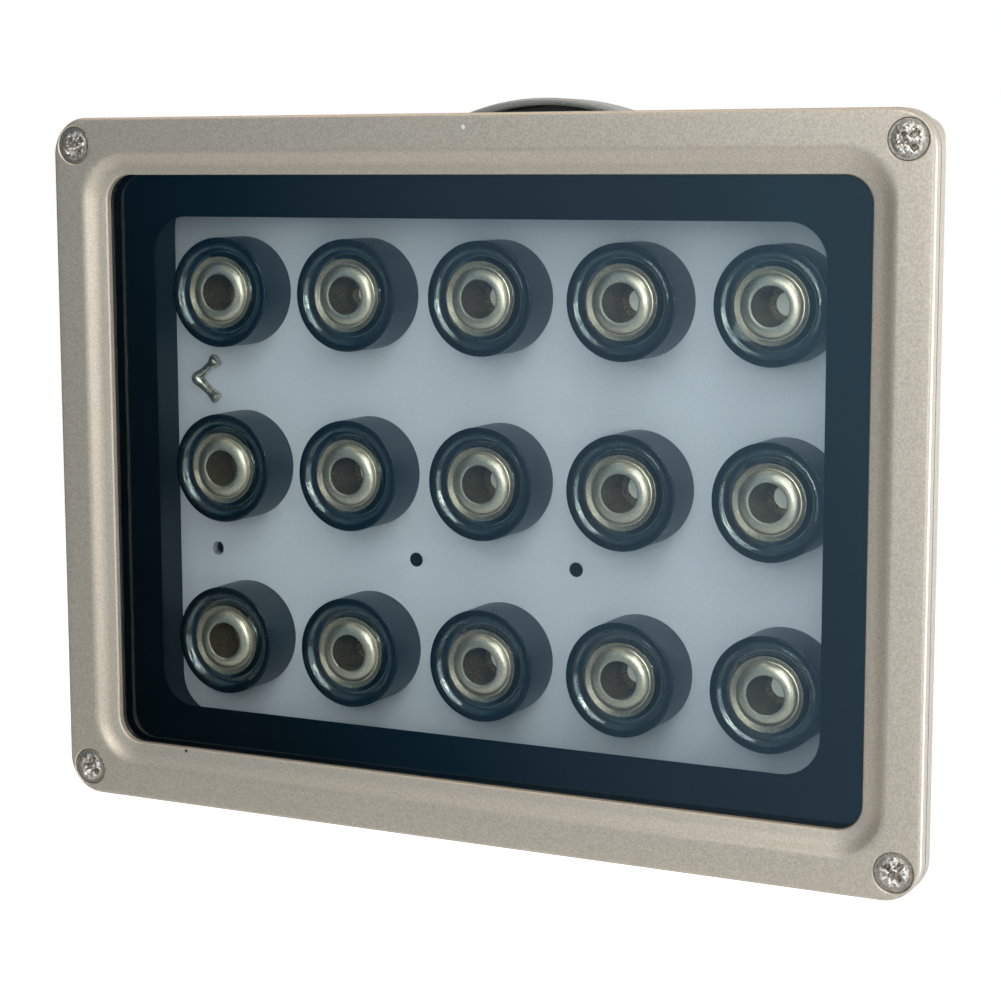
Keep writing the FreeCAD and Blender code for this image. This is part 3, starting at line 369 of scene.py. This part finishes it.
# Moulded frame with a dull face, to keep stray light down: a quiet blue-black edge round the board
shield_plastic = plain_finish("dark_frame_plastic", "#0f1b22", "#13212a", 0.4 * MM, roughness=0.55)
# Nickel plate on drawn steel: a pale warm satin collar with a soft highlight
nickel = plain_finish("satin_nickel", "#b3a592", "#cfc2ae", 0.3 * MM, metallic=0.95, roughness=0.34,
                      bump=0.4)
# Lathe-turned steel: a darker, duller step outside the nickel
skirt_metal = plain_finish("turned_steel", "#6f675a", "#978c7b", 0.3 * MM, metallic=0.9, roughness=0.42,
                           bump=0.4)
# The nickel sleeve's side, given a near-black brown as painted shade: under the lens it stays in shadow
painted_shade_flank = plain_finish("sleeve_side_painted_shade", "#16130f", "#2a241c", 0.3 * MM, metallic=0.5, roughness=0.4,
                           bump=0.4)
# Bored and left raw: a brown, scratchy depth
bore_metal = plain_finish("bored_steel", "#3a2c1c", "#8a7556", 0.3 * MM, metallic=0.55, roughness=0.35,
                          bump=0.8)
# The emitter's pale face: a cream disc at the foot of the bore
die_metal = plain_finish("bright_die", "#f4ead9", "#fffaf0", 0.3 * MM, metallic=0.0, roughness=0.4)
screw_metal = worn_screw_plate()
# White solder mask, rolled on the laminate: matt, cool and nearly even
board_coat = plain_finish("board_solder_mask", "#c2bec4", "#cac6cb", 0.4 * MM, roughness=0.45)
# Solder, frozen in beads: bright and uneven, with dark folds
solder = plain_finish("tin_lead_solder", "#a19b8e", "#d8d3c6", 1.2 * MM, metallic=0.85, roughness=0.24,
                      bump=0.25, bump_height=0.15 * MM)
# Moulded rubber: a black that returns almost no light
rubber = plain_finish("black_rubber", "#101112", "#17191a", 0.3 * MM, roughness=0.75)
# Moulded nylon: black with a dull sheen on its edges
black_plastic = plain_finish("black_nylon", "#141516", "#1c1e1f", 0.3 * MM, roughness=0.5)
# Zinc plate, bright dipped: a cool light grey metal
zinc = plain_finish("zinc_plated_steel", "#8e9192", "#a7aaab", 0.3 * MM, metallic=1.0, roughness=0.32)
# Sprayed satin paint on cast aluminium: an even mid grey with a soft shine
grey_paint = plain_finish("satin_grey_paint", "#8b8a84", "#9a9993", 0.4 * MM, metallic=0.5, roughness=0.4)
# Glass-fibre laminate under green mask: a dark green with a slight gloss
green_board = plain_finish("green_laminate", "#12472c", "#175536", 0.5 * MM, roughness=0.4)
# Potting resin and lacquer on the driver's parts: black and half matt
component = plain_finish("component_resin", "#1a1a1c", "#232326", 0.3 * MM, roughness=0.5)
# Chemically blackened screws: nearly black, with a metal's edge to the light
dark_steel = plain_finish("blackened_steel", "#141414", "#2a2a2a", 0.2 * MM, metallic=0.9, roughness=0.4)


# Mesh helpers


def new_mesh(name, bm):
    """A mesh with the shape of a bmesh, which is then freed."""
    mesh = bpy.data.meshes.new(name)
    bm.to_mesh(mesh)
    bm.free()
    return mesh


def make_piece(name, mesh, material, body):
    """Link a mesh as a shown piece, with its place in its vertices."""
    piece = bpy.data.objects.new(name, mesh)
    bpy.context.scene.collection.objects.link(piece)
    if material is not None:
        mesh.materials.clear()
        mesh.materials.append(material)
    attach(piece, body)
    return piece


def smooth_by_angle(mesh, degrees=35):
    """Smooth shading, with edges sharper than the angle kept sharp."""
    bm = bmesh.new()
    bm.from_mesh(mesh)
    for face in bm.faces:
        face.smooth = True
    for edge in bm.edges:
        edge.smooth = len(edge.link_faces) == 2 and edge.calc_face_angle(0) < math.radians(degrees)
    bm.to_mesh(mesh)
    bm.free()


def dressed(cad_node, material, body):
    """A merged, smooth-shaded copy of a CAD node that stands for it."""
    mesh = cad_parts[cad_node].data.copy()
    bm = bmesh.new()
    bm.from_mesh(mesh)
    bmesh.ops.remove_doubles(bm, verts=bm.verts, dist=0.0005 * MM)
    bm.to_mesh(mesh)
    bm.free()
    smooth_by_angle(mesh)
    piece = make_piece(cad_node + "_skin", mesh, material, body)
    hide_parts(cad_node)


def rounded_ring(width, height, corner_r, depth, turns=24, straight=10):
    """Points round a rounded rectangle in the lamp's frame, always in the same order and number."""
    a, b = width / 2 - corner_r, height / 2 - corner_r
    corners = ((a, b, 0), (-a, b, 90), (-a, -b, 180), (a, -b, 270))
    points = []
    for k, (cx, cz, start) in enumerate(corners):
        for i in range(turns + 1):
            t = math.radians(start + 90 * i / turns)
            points.append(Vector((cx + corner_r * math.cos(t), depth, cz + corner_r * math.sin(t))))
        nx, nz, after = corners[(k + 1) % 4]
        t = math.radians(after)
        first = Vector((nx + corner_r * math.cos(t), depth, nz + corner_r * math.sin(t)))
        last = points[-1]
        points += [last.lerp(first, i / straight) for i in range(1, straight)]
    return points


def skinned(rings):
    """A closed skin of quads between successive rings of the same length; the last joins the first."""
    bm = bmesh.new()
    rows = [[bm.verts.new(LAMP + p) for p in ring] for ring in rings]
    count = len(rows[0])
    for front_row, back_row in list(zip(rows, rows[1:])) + [(rows[-1], rows[0])]:
        for i in range(count):
            j = (i + 1) % count
            bm.faces.new((front_row[i], front_row[j], back_row[j], back_row[i]))
    bmesh.ops.recalc_face_normals(bm, faces=bm.faces)
    return new_mesh("skinned", bm)


def arc(centre, radius, start, end, steps):
    """Points on an arc of the section plane, as (inset, depth), from start to end in degrees."""
    return [(centre[0] + radius * math.cos(math.radians(start + (end - start) * i / steps)),
             centre[1] + radius * math.sin(math.radians(start + (end - start) * i / steps)))
            for i in range(steps + 1)]


def rounded_corner(before, corner, after, radius):
    """The arc that rounds a polyline's corner."""
    a = Vector(before) - Vector(corner)
    b = Vector(after) - Vector(corner)
    a.normalize()
    b.normalize()
    half = a.angle(b) / 2
    reach = radius / math.tan(half)
    middle = Vector(corner) + (a + b).normalized() * radius / math.sin(half)
    first = Vector(corner) + a * reach - middle
    last = Vector(corner) + b * reach - middle
    turn = math.atan2(first.x * last.y - first.y * last.x, first.dot(last))
    start = math.atan2(first.y, first.x)
    return [(middle.x + radius * math.cos(start + turn * i / FILLET_STEPS),
             middle.y + radius * math.sin(start + turn * i / FILLET_STEPS))
            for i in range(FILLET_STEPS + 1)]


def lathe(section, steps=ROUND, marked=None):
    """A closed solid turned about the Y axis from (radius, depth) points, given once round its outline.

    marked gives, for a face attribute's name, the section edges whose faces carry it."""
    bm = bmesh.new()
    columns = []
    for r, depth in section:
        if r == 0:
            columns.append([bm.verts.new((0, depth, 0))] * steps)
        else:
            columns.append([bm.verts.new((r * math.cos(2 * math.pi * k / steps), depth,
                                          r * math.sin(2 * math.pi * k / steps))) for k in range(steps)])
    layers = {name: bm.faces.layers.int.new(name) for name in (marked or {})}
    for e in range(len(section)):
        here, there = columns[e], columns[(e + 1) % len(section)]
        if section[e][0] == 0 and section[(e + 1) % len(section)][0] == 0:
            continue
        for k in range(steps):
            j = (k + 1) % steps
            ring = []
            for v in (here[k], here[j], there[j], there[k]):
                if v not in ring:
                    ring.append(v)
            face = bm.faces.new(ring)
            for name, edges in (marked or {}).items():
                face[layers[name]] = int(e in edges)
    bmesh.ops.recalc_face_normals(bm, faces=bm.faces)
    return new_mesh("turned", bm)


def cut_away(mesh, cutter):
    """The mesh with the closed solids of the cutter taken away."""
    base = bpy.data.objects.new("base", mesh)
    tool = bpy.data.objects.new("tool", cutter)
    for helper in (base, tool):
        bpy.context.scene.collection.objects.link(helper)
    cut = base.modifiers.new("cut", "BOOLEAN")
    cut.operation = "DIFFERENCE"
    cut.solver = "MANIFOLD"
    cut.object = tool
    bpy.context.view_layer.update()
    result = bpy.data.meshes.new_from_object(base.evaluated_get(bpy.context.evaluated_depsgraph_get()))
    for helper in (base, tool):
        bpy.data.objects.remove(helper)
    return result


# Arrays made with geometry nodes


def grid_tree(name, materials, turned):
    """Copies of the incoming unit at the crossings of an upright grid, made real, with their materials.

    materials holds (material, face attribute or None); turned gives each copy its own turn about Y."""
    tree = bpy.data.node_groups.new(name, "GeometryNodeTree")
    face = tree.interface
    face.new_socket("Geometry", in_out="INPUT", socket_type="NodeSocketGeometry")
    for label, kind in (("Columns", "NodeSocketInt"), ("Rows", "NodeSocketInt"),
                        ("Width", "NodeSocketFloat"), ("Height", "NodeSocketFloat"),
                        ("Seed", "NodeSocketInt")):
        face.new_socket(label, in_out="INPUT", socket_type=kind)
    face.new_socket("Geometry", in_out="OUTPUT", socket_type="NodeSocketGeometry")
    given = node(tree, "NodeGroupInput")
    grid = node(tree, "GeometryNodeMeshGrid",
                {"Size X": given.outputs["Width"], "Size Y": given.outputs["Height"],
                 "Vertices X": given.outputs["Columns"], "Vertices Y": given.outputs["Rows"]})
    upright = node(tree, "GeometryNodeTransform",
                   {"Geometry": grid.outputs["Mesh"], "Rotation": (math.radians(90), 0, 0)})
    spin = node(tree, "FunctionNodeRandomValue",
                {0: (0, 0, 0), 1: (0, math.pi if turned else 0, 0), "Seed": given.outputs["Seed"]},
                data_type="FLOAT_VECTOR")
    placed = node(tree, "GeometryNodeInstanceOnPoints",
                  {"Points": upright.outputs["Geometry"], "Instance": given.outputs["Geometry"],
                   "Rotation": spin.outputs[0]})
    real = node(tree, "GeometryNodeRealizeInstances", {"Geometry": placed.outputs["Instances"]})
    flow = real.outputs["Geometry"]
    for material, attribute in materials:
        finish = node(tree, "GeometryNodeSetMaterial", {"Geometry": flow, "Material": material})
        if attribute:
            chosen = node(tree, "GeometryNodeInputNamedAttribute", {"Name": attribute}, data_type="INT")
            tree.links.new(chosen.outputs["Attribute"], finish.inputs["Selection"])
        flow = finish.outputs["Geometry"]
    node(tree, "NodeGroupOutput", {"Geometry": flow})
    return tree


def on_grid(name, unit, materials, grid, centre, turned=False, seed=3):
    """Run the grid tree on a unit mesh and keep the result as a plain mesh that rides on the lamp.

    grid is (columns, rows, width, height)."""
    source = bpy.data.objects.new(name + "_unit", unit)
    bpy.context.scene.collection.objects.link(source)
    tree = grid_tree(name + "_grid", materials, turned)
    modifier = source.modifiers.new("grid", "NODES")
    modifier.node_group = tree
    values = dict(zip(("Columns", "Rows", "Width", "Height"), grid), Seed=seed)
    for item in tree.interface.items_tree:
        if item.in_out == "INPUT" and item.name in values:
            modifier[item.identifier] = values[item.name]
    bpy.context.view_layer.update()
    evaluated = source.evaluated_get(bpy.context.evaluated_depsgraph_get())
    mesh = bpy.data.meshes.new_from_object(evaluated)
    source.modifiers.remove(modifier)
    bpy.data.objects.remove(source)
    mesh.name = name
    mesh.transform(Matrix.Translation(centre))
    smooth_by_angle(mesh, 30)
    return make_piece(name, mesh, None, "lamp")


# The bezel


def bezel_section():
    """The cast frame's section from its back outer edge round the front to the rib behind the lip."""
    steep_run = (LIP_D - math.tan(SHALLOW) * (FRAME_X - BEND_INSET)) / (math.tan(STEEP) - math.tan(SHALLOW))
    dish = (BEND_INSET + steep_run, math.tan(STEEP) * steep_run)
    bend = (BEND_INSET, 0.0)
    lip = (FRAME_X, LIP_D)
    section = [(0.0, EDGE_T)]
    section += arc((EDGE_FILLET, EDGE_FILLET), EDGE_FILLET, 180, 270, EDGE_STEPS)
    section += [(EDGE_FILLET + (BEND_INSET - EDGE_FILLET) * k / 4, 0.0) for k in (1, 2, 3)]
    section += rounded_corner((0, 0), bend, dish, BEND_R)
    section += rounded_corner(bend, dish, lip, DISH_R)
    section += rounded_corner(dish, lip, (FRAME_X, RIB_D), LIP_R)
    section.append((FRAME_X, RIB_D))
    return section


def corner_radius(inset):
    """Corner radius of the frame at an inset: eased from the outer edge to the bend, then the opening."""
    if inset <= EDGE_FILLET:
        return max(OUTER_CORNER_R - inset, 0)
    if inset <= BEND_INSET:
        t = (inset - EDGE_FILLET) / (BEND_INSET - EDGE_FILLET)
        return (OUTER_CORNER_R - EDGE_FILLET) * (1 - t) + BEND_CORNER_R * t
    t = (inset - BEND_INSET) / (FRAME_X - BEND_INSET)
    return BEND_CORNER_R * (1 - t) + OPENING_CORNER_R * t


def bezel_mesh():
    """The swept frame, closed behind by the flat back and the rib that holds the glass."""
    rings = []
    for inset, depth in bezel_section():
        inset_z = inset * FRAME_Z / FRAME_X
        rings.append(rounded_ring(FRONT_W - 2 * inset, FRONT_H - 2 * inset_z, corner_radius(inset), depth))
    rib_low, rib_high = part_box("window_glass")
    rib_w, rib_h = rib_high.x - rib_low.x, rib_high.z - rib_low.z
    rings.append(rounded_ring(rib_w, rib_h, RIB_CORNER_R, RIB_D))
    rings.append(rounded_ring(rib_w, rib_h, RIB_CORNER_R, EDGE_T))
    return skinned(rings)


def countersinks():
    """The four conical seats that are cut from the bezel for the corner screws, as closed turned solids."""
    head_r = SCREW_HEAD_R + SEAT_GAP
    shank_r = SCREW_SHANK_R + SEAT_GAP
    section = [(0, -PAST), (head_r + SEAT_LEAD, -PAST), (head_r + SEAT_LEAD, SEAT_LEAD_D),
               (head_r, SEAT_SINK), (head_r, SEAT_SINK + SCREW_HEAD_EDGE),
               (shank_r, SEAT_SINK + SCREW_HEAD_D), (shank_r, EDGE_T + PAST), (0, EDGE_T + PAST)]
    bm = bmesh.new()
    for sx in (-1, 1):
        for sz in (-1, 1):
            seat = lathe(section, SCREW_STEPS)
            seat.transform(Matrix.Translation(lamp_point(sx * (FRONT_W / 2 - SCREW_INSET_X), 0,
                                                         sz * (FRONT_H / 2 - SCREW_INSET_Z))))
            bm.from_mesh(seat)
    return new_mesh("countersinks", bm)


def painted_bezel():
    """The die-cast front frame with its screw seats."""
    mesh = cut_away(bezel_mesh(), countersinks())
    smooth_by_angle(mesh, 30)
    piece = make_piece("painted_bezel", mesh, paint, "lamp")
    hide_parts("front_bezel")


# The lens units


def grid_nodes(kind):
    """The CAD nodes of one kind, one at each crossing of the lens grid."""
    return ["%s_%d%d" % (kind, row + 1, column + 1) for row in range(ROWS) for column in range(COLUMNS)]


def lens_holders():
    """Moulded cups: lens well, ledge, bright cone, and outside the wall up to a grooved rim."""
    section = [(WELL_R, WELL_LEAD), (WELL_R, SEAT_D), (SEAT_R, SEAT_D), (SEAT_R, CONE_TOP_D),
               (CONE_FOOT_R, CONE_FOOT_D), (SLEEVE_R + SLEEVE_GAP, CONE_FOOT_D),
               (SLEEVE_R + SLEEVE_GAP, HEIGHT), (HOLDER_R, HEIGHT)]
    cone_edge = section.index((SEAT_R, CONE_TOP_D))
    wall_edge = len(section) - 1
    section += arc((HOLDER_R - RIM_R, RIM_R), RIM_R, 0, -90, RIM_STEPS)
    section += [(HOLDER_R - inset, depth)
                for inset, depth in zip(RIM_GROOVE, (0.0, RIM_GROOVE_D, RIM_GROOVE_D, 0.0))]
    section.append((WELL_R + WELL_LEAD_R, 0))
    piece = on_grid("lens_holders", lathe(section, marked={"cone": (cone_edge,), "wall": (wall_edge,)}),
                    [(rim_abs_painted_darker, None), (cone_metal, "cone"), (wall_abs_painted_lighter, "wall")],
                    LENS_GRID, ARRAY_CENTRE)
    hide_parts(*grid_nodes("lens_holder"))


def collimator_lenses():
    """Clear rings: a raised lip, a shallow dished face, a flange on the ledge and a cone below it."""
    lip = [(9.0, 0.4), (9.2, 0.35), (9.55, 0.04), (9.7, 0.0), (9.93, 0.0)]
    section = [(SLEEVE_R + SLEEVE_GAP, LENS_TOP + 0.95 * MM), (7.5 * MM, LENS_TOP + 0.5 * MM)]
    section += [(r * MM, LENS_TOP + d * MM) for r, d in lip]
    section += [(LENS_R, LENS_TOP + 0.08 * MM), (LENS_R, LENS_TOP + LENS_EDGE_T),
                (LENS_BACK_R, LENS_TOP + LENS_EDGE_T), (LENS_BACK_R, LENS_TOP + LENS_BACK_D),
                (LENS_TIP_R, LENS_TOP + LENS_TIP_D), (SLEEVE_R + SLEEVE_GAP, LENS_TOP + LENS_TIP_D)]
    piece = on_grid("lenses", lathe(section), [(acrylic, None)], LENS_GRID, ARRAY_CENTRE)
    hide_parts(*grid_nodes("lens"))


def emitter_sleeves():
    """Deep cups, proud of the holder at the bore, with the emitter's disc on the floor.

    The crowned face falls away to a groove, and a dished skirt outside that catches the light on the
    side that faces the lamps."""
    crown = [(3.75, -0.05), (3.85, -0.16), (4.0, -0.2), (4.5, -0.16), (5.0, -0.04), (5.5, 0.17),
             (5.85, 0.42), (6.05, 0.66), (6.15, 0.86)]
    skirt = [(6.3, 0.92), (6.5, 0.84), (7.0, 0.56), (7.2, 0.47), (7.3, 0.5), (7.32, 0.58)]
    face = [(r * MM, d * MM) for r, d in crown + skirt]
    flank = [(SLEEVE_R, SLEEVE_SKIRT_D), (SLEEVE_R, HEIGHT), (0, HEIGHT)]
    die = [(0, HEIGHT - DIE_T), (DIE_R - DIE_CHAMFER_R, HEIGHT - DIE_T),
           (DIE_R, HEIGHT - DIE_T + DIE_CHAMFER_T)]
    floor = [(DIE_R, HEIGHT - BORE_FLOOR_T), (BORE_R, HEIGHT - BORE_FLOOR_T)]
    flank_start = len(face) - 1
    die_start = len(face) + len(flank)
    floor_start = die_start + len(die)
    marked = {"bore": (floor_start, floor_start + 1), "die": range(die_start, floor_start),
              "flank": (flank_start, flank_start + 1), "skirt": range(len(crown), flank_start)}
    piece = on_grid("emitter_sleeves", lathe(face + flank + die + floor, marked=marked),
                    [(nickel, None), (bore_metal, "bore"), (die_metal, "die"), (painted_shade_flank, "flank"),
                     (skirt_metal, "skirt")], LENS_GRID, ARRAY_CENTRE)
    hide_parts(*["emitter_row_%d" % (row + 1) for row in range(ROWS)])


# The corner screws


def cross_bar(upright):
    """One bar of the driver recess, a closed wedge that narrows downwards, for a screw about the Y axis."""
    top, foot = (2.45 * MM, 0.6 * MM), (1.0 * MM, 0.32 * MM)
    above, depth = -0.5 * MM, 1.6 * MM
    bm = bmesh.new()
    rings = []
    for (length, half_width), y in ((top, above), (top, 0.0), (foot, depth)):
        corners = ((-length, -half_width), (length, -half_width), (length, half_width),
                   (-length, half_width))
        rings.append([bm.verts.new((b, y, a) if upright else (a, y, b)) for a, b in corners])
    for upper, lower in zip(rings, rings[1:]):
        for i in range(4):
            bm.faces.new((upper[i], upper[(i + 1) % 4], lower[(i + 1) % 4], lower[i]))
    bm.faces.new(rings[0])
    bm.faces.new(rings[-1])
    bmesh.ops.recalc_face_normals(bm, faces=bm.faces)
    return new_mesh("cross_bar", bm)


def corner_screws():
    """Four countersunk screws, each with its cross recess at its own turn."""
    low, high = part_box("bezel_screws")
    length = high.y - low.y
    section = [(0, 0), (SCREW_HEAD_R - SCREW_HEAD_CHAMFER, 0), (SCREW_HEAD_R, SCREW_HEAD_CHAMFER),
               (SCREW_HEAD_R, SCREW_HEAD_EDGE), (SCREW_SHANK_R, SCREW_HEAD_D), (SCREW_SHANK_R, length),
               (0, length)]
    unit = cut_away(cut_away(lathe(section, SCREW_STEPS), cross_bar(False)), cross_bar(True))
    grid = (2, 2, FRONT_W - 2 * SCREW_INSET_X, FRONT_H - 2 * SCREW_INSET_Z)
    piece = on_grid("corner_screws", unit, [(screw_metal, None)], grid,
                    LAMP + Vector((0, low.y - LAMP.y, 0)), turned=True, seed=5)
    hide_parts("bezel_screws")


# The solder link


def beaded_wire(name, points):
    """A round wire through points given as (point, radius), with its place in its vertices."""
    curve = bpy.data.curves.new(name, "CURVE")
    curve.dimensions = "3D"
    curve.bevel_depth = 1.0
    curve.bevel_resolution = 8
    curve.resolution_u = 10
    curve.use_fill_caps = True
    spline = curve.splines.new("NURBS")
    spline.points.add(len(points) - 1)
    for place, (point, radius) in zip(spline.points, points):
        place.co = (*point, 1)
        place.radius = radius
    spline.use_endpoint_u = True
    spline.order_u = 3
    carrier = bpy.data.objects.new(name, curve)
    bpy.context.scene.collection.objects.link(carrier)
    bpy.context.view_layer.update()
    mesh = bpy.data.meshes.new_from_object(carrier.evaluated_get(bpy.context.evaluated_depsgraph_get()))
    bpy.data.objects.remove(carrier)
    return mesh


def solder_link():
    """A bent wire, drowned in solder at its ends and its bend."""
    low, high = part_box("solder_link")
    depth = high.y - LINK_WIRE_R
    top_end = Vector((high.x - LINK_BLOB_R, depth, high.z - LINK_BLOB_R))
    low_end = Vector((high.x - LINK_BLOB_R, depth, low.z + LINK_BLOB_R))
    bend = Vector((low.x + LINK_WIRE_R, depth, (low.z + high.z) / 2))
    # Share of the way along each leg, and the radius there in millimetres
    upper_leg = [(0.0, 0.6), (0.02, 1.5), (0.16, 1.45), (0.34, 0.85), (0.7, 0.8), (0.93, 1.3)]
    lower_leg = [(0.05, 1.4), (0.3, 1.05), (0.7, 1.0), (0.88, 1.35), (0.98, 1.4), (1.0, 0.6)]
    points = [(top_end.lerp(bend, t), r * MM) for t, r in upper_leg]
    points += [(bend.lerp(low_end, t), r * MM) for t, r in lower_leg]
    mesh = beaded_wire("solder_link_wire", points)
    smooth_by_angle(mesh, 60)
    piece = make_piece("solder_link_wire", mesh, solder, "lamp")
    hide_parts("solder_link")


painted_bezel()
lens_holders()
collimator_lenses()
emitter_sleeves()
corner_screws()
solder_link()
for cad_node, finish, body in (
        ("rear_housing", paint, "lamp"), ("window_glass", glass, "lamp"), ("window_border", ink, "lamp"),
        ("glass_gasket", rubber, "lamp"), ("housing_seal", rubber, "lamp"),
        ("light_shield", shield_plastic, "lamp"), ("led_board", board_coat, "lamp"),
        ("board_screws", dark_steel, "lamp"), ("driver_board", green_board, "lamp"),
        ("driver_parts", component, "lamp"), ("driver_screws", zinc, "lamp"),
        ("gland_body", black_plastic, "lamp"), ("gland_bush", rubber, "lamp"),
        ("gland_cap", black_plastic, "lamp"), ("bracket_foot", grey_paint, "lamp"),
        ("foot_screws", zinc, "lamp"), ("wall_plate", grey_paint, "base"),
        ("plate_cover", black_plastic, "base"), ("clamp_screw", zinc, "base"),
        ("swivel_arm", grey_paint, "arm"), ("swivel_screw", zinc, "arm"), ("friction_disc", zinc, "arm"),
        ("tilt_bolt", zinc, "arm"), ("tilt_nut", zinc, "arm")):
    dressed(cad_node, finish, body)


# Studio


def room_light():
    """A white world for the camera, and for the object a soft sky that brightens to the upper right."""
    scene = bpy.context.scene
    scene.view_settings.view_transform = "Standard"
    world = bpy.data.worlds.new("studio")
    scene.world = world
    world.use_nodes = True
    tree = world.node_tree
    tree.nodes.clear()
    way = node(tree, "ShaderNodeTexCoord").outputs["Generated"]
    toward = node(tree, "ShaderNodeVectorMath", {0: way, 1: Vector(BRIGHT_SIDE).normalized()},
                  operation="DOT_PRODUCT")
    side = node(tree, "ShaderNodeMapRange", {"Value": toward.outputs["Value"], "From Min": -1.0})
    ramp = node(tree, "ShaderNodeValToRGB", {"Fac": side.outputs["Result"]})
    stops = ramp.color_ramp.elements
    stops[0].position, stops[0].color = ROOM[0][0], linear(ROOM[0][1])
    stops[1].position, stops[1].color = ROOM[-1][0], linear(ROOM[-1][1])
    for position, colour in ROOM[1:-1]:
        stops.new(position).color = linear(colour)
    room = node(tree, "ShaderNodeBackground", {"Color": ramp.outputs["Color"], "Strength": 1.0})
    white = node(tree, "ShaderNodeBackground", {"Color": (1, 1, 1, 1), "Strength": 1.0})
    light = node(tree, "ShaderNodeLightPath")
    shown = node(tree, "ShaderNodeMath", {0: light.outputs["Is Glossy Ray"],
                                          1: light.outputs["Is Transmission Ray"]}, operation="MAXIMUM")
    behind = node(tree, "ShaderNodeVectorMath", {0: way, 1: BACKDROP_SIDE}, operation="DOT_PRODUCT")
    edge = node(tree, "ShaderNodeMapRange",
                {"Value": behind.outputs["Value"], "From Min": BACKDROP_EDGE[0],
                 "From Max": BACKDROP_EDGE[1]})
    backdrop = node(tree, "ShaderNodeMath", {0: shown.outputs["Value"], 1: edge.outputs["Result"]},
                    operation="MULTIPLY")
    both = node(tree, "ShaderNodeMath", {0: light.outputs["Is Camera Ray"], 1: backdrop.outputs["Value"]},
                operation="MAXIMUM")
    mix = node(tree, "ShaderNodeMixShader", {0: both.outputs["Value"], 1: room.outputs["Background"],
                                             2: white.outputs["Background"]})
    node(tree, "ShaderNodeOutputWorld", {"Surface": mix.outputs["Shader"]})


def soft_lamps():
    """Rectangular lamps that point at the middle of the front."""
    for name, place, size, power, colour in LAMPS:
        light = bpy.data.lights.new(name, "AREA")
        light.shape = "RECTANGLE"
        light.size, light.size_y = size
        light.energy = power
        light.color = linear(colour)[:3]
        stand = bpy.data.objects.new(name, light)
        stand.location = LAMP + Vector(place)
        stand.rotation_euler = (-Vector(place)).to_track_quat("-Z", "Y").to_euler()
        stand.visible_camera = False
        stand.visible_glossy = name != "pilot"
        bpy.context.scene.collection.objects.link(stand)


def pale_floor():
    """A pale matt floor below the part. The camera sees it lifted towards white, with its shadow kept."""
    material, tree = new_material("studio_floor")
    matt = node(tree, "ShaderNodeBsdfDiffuse", {"Color": linear("#f4f4f2")})
    light = node(tree, "ShaderNodeLightPath")
    lift = node(tree, "ShaderNodeMath", {0: light.outputs["Is Camera Ray"], 1: FLOOR_LIFT},
                operation="MULTIPLY")
    white = node(tree, "ShaderNodeEmission", {"Color": (1, 1, 1, 1), "Strength": lift.outputs["Value"]})
    both = node(tree, "ShaderNodeAddShader", {0: matt.outputs["BSDF"], 1: white.outputs["Emission"]})
    surface(tree, both.outputs["Shader"])
    mesh = bpy.data.meshes.new("floor")
    mesh.from_pydata([(-FLOOR_REACH, FLOOR_FRONT, FLOOR_LEVEL), (FLOOR_REACH, FLOOR_FRONT, FLOOR_LEVEL),
                      (FLOOR_REACH, FLOOR_REACH, FLOOR_LEVEL), (-FLOOR_REACH, FLOOR_REACH, FLOOR_LEVEL)],
                     [], [(0, 1, 2, 3)])
    mesh.materials.append(material)
    floor = bpy.data.objects.new("floor", mesh)
    bpy.context.scene.collection.objects.link(floor)


def camera():
    """The photograph's viewpoint."""
    lens = bpy.data.cameras.new("photo")
    lens.sensor_width = SENSOR_MM
    lens.lens = FOCAL_PX / PHOTO_PX * SENSOR_MM
    lens.clip_start = 0.01
    view = bpy.data.objects.new("photo", lens)
    turn = (Matrix.Rotation(math.radians(YAW), 4, "Z") @ Matrix.Rotation(math.radians(-PITCH), 4, "X")
            @ Matrix.Rotation(math.radians(ROLL), 4, "Y") @ Matrix.Rotation(math.radians(90), 4, "X"))
    view.matrix_world = Matrix.Translation(LAMP + Vector(EYE)) @ turn
    bpy.context.scene.collection.objects.link(view)
    bpy.context.scene.camera = view


room_light()
soft_lamps()
pale_floor()
camera()
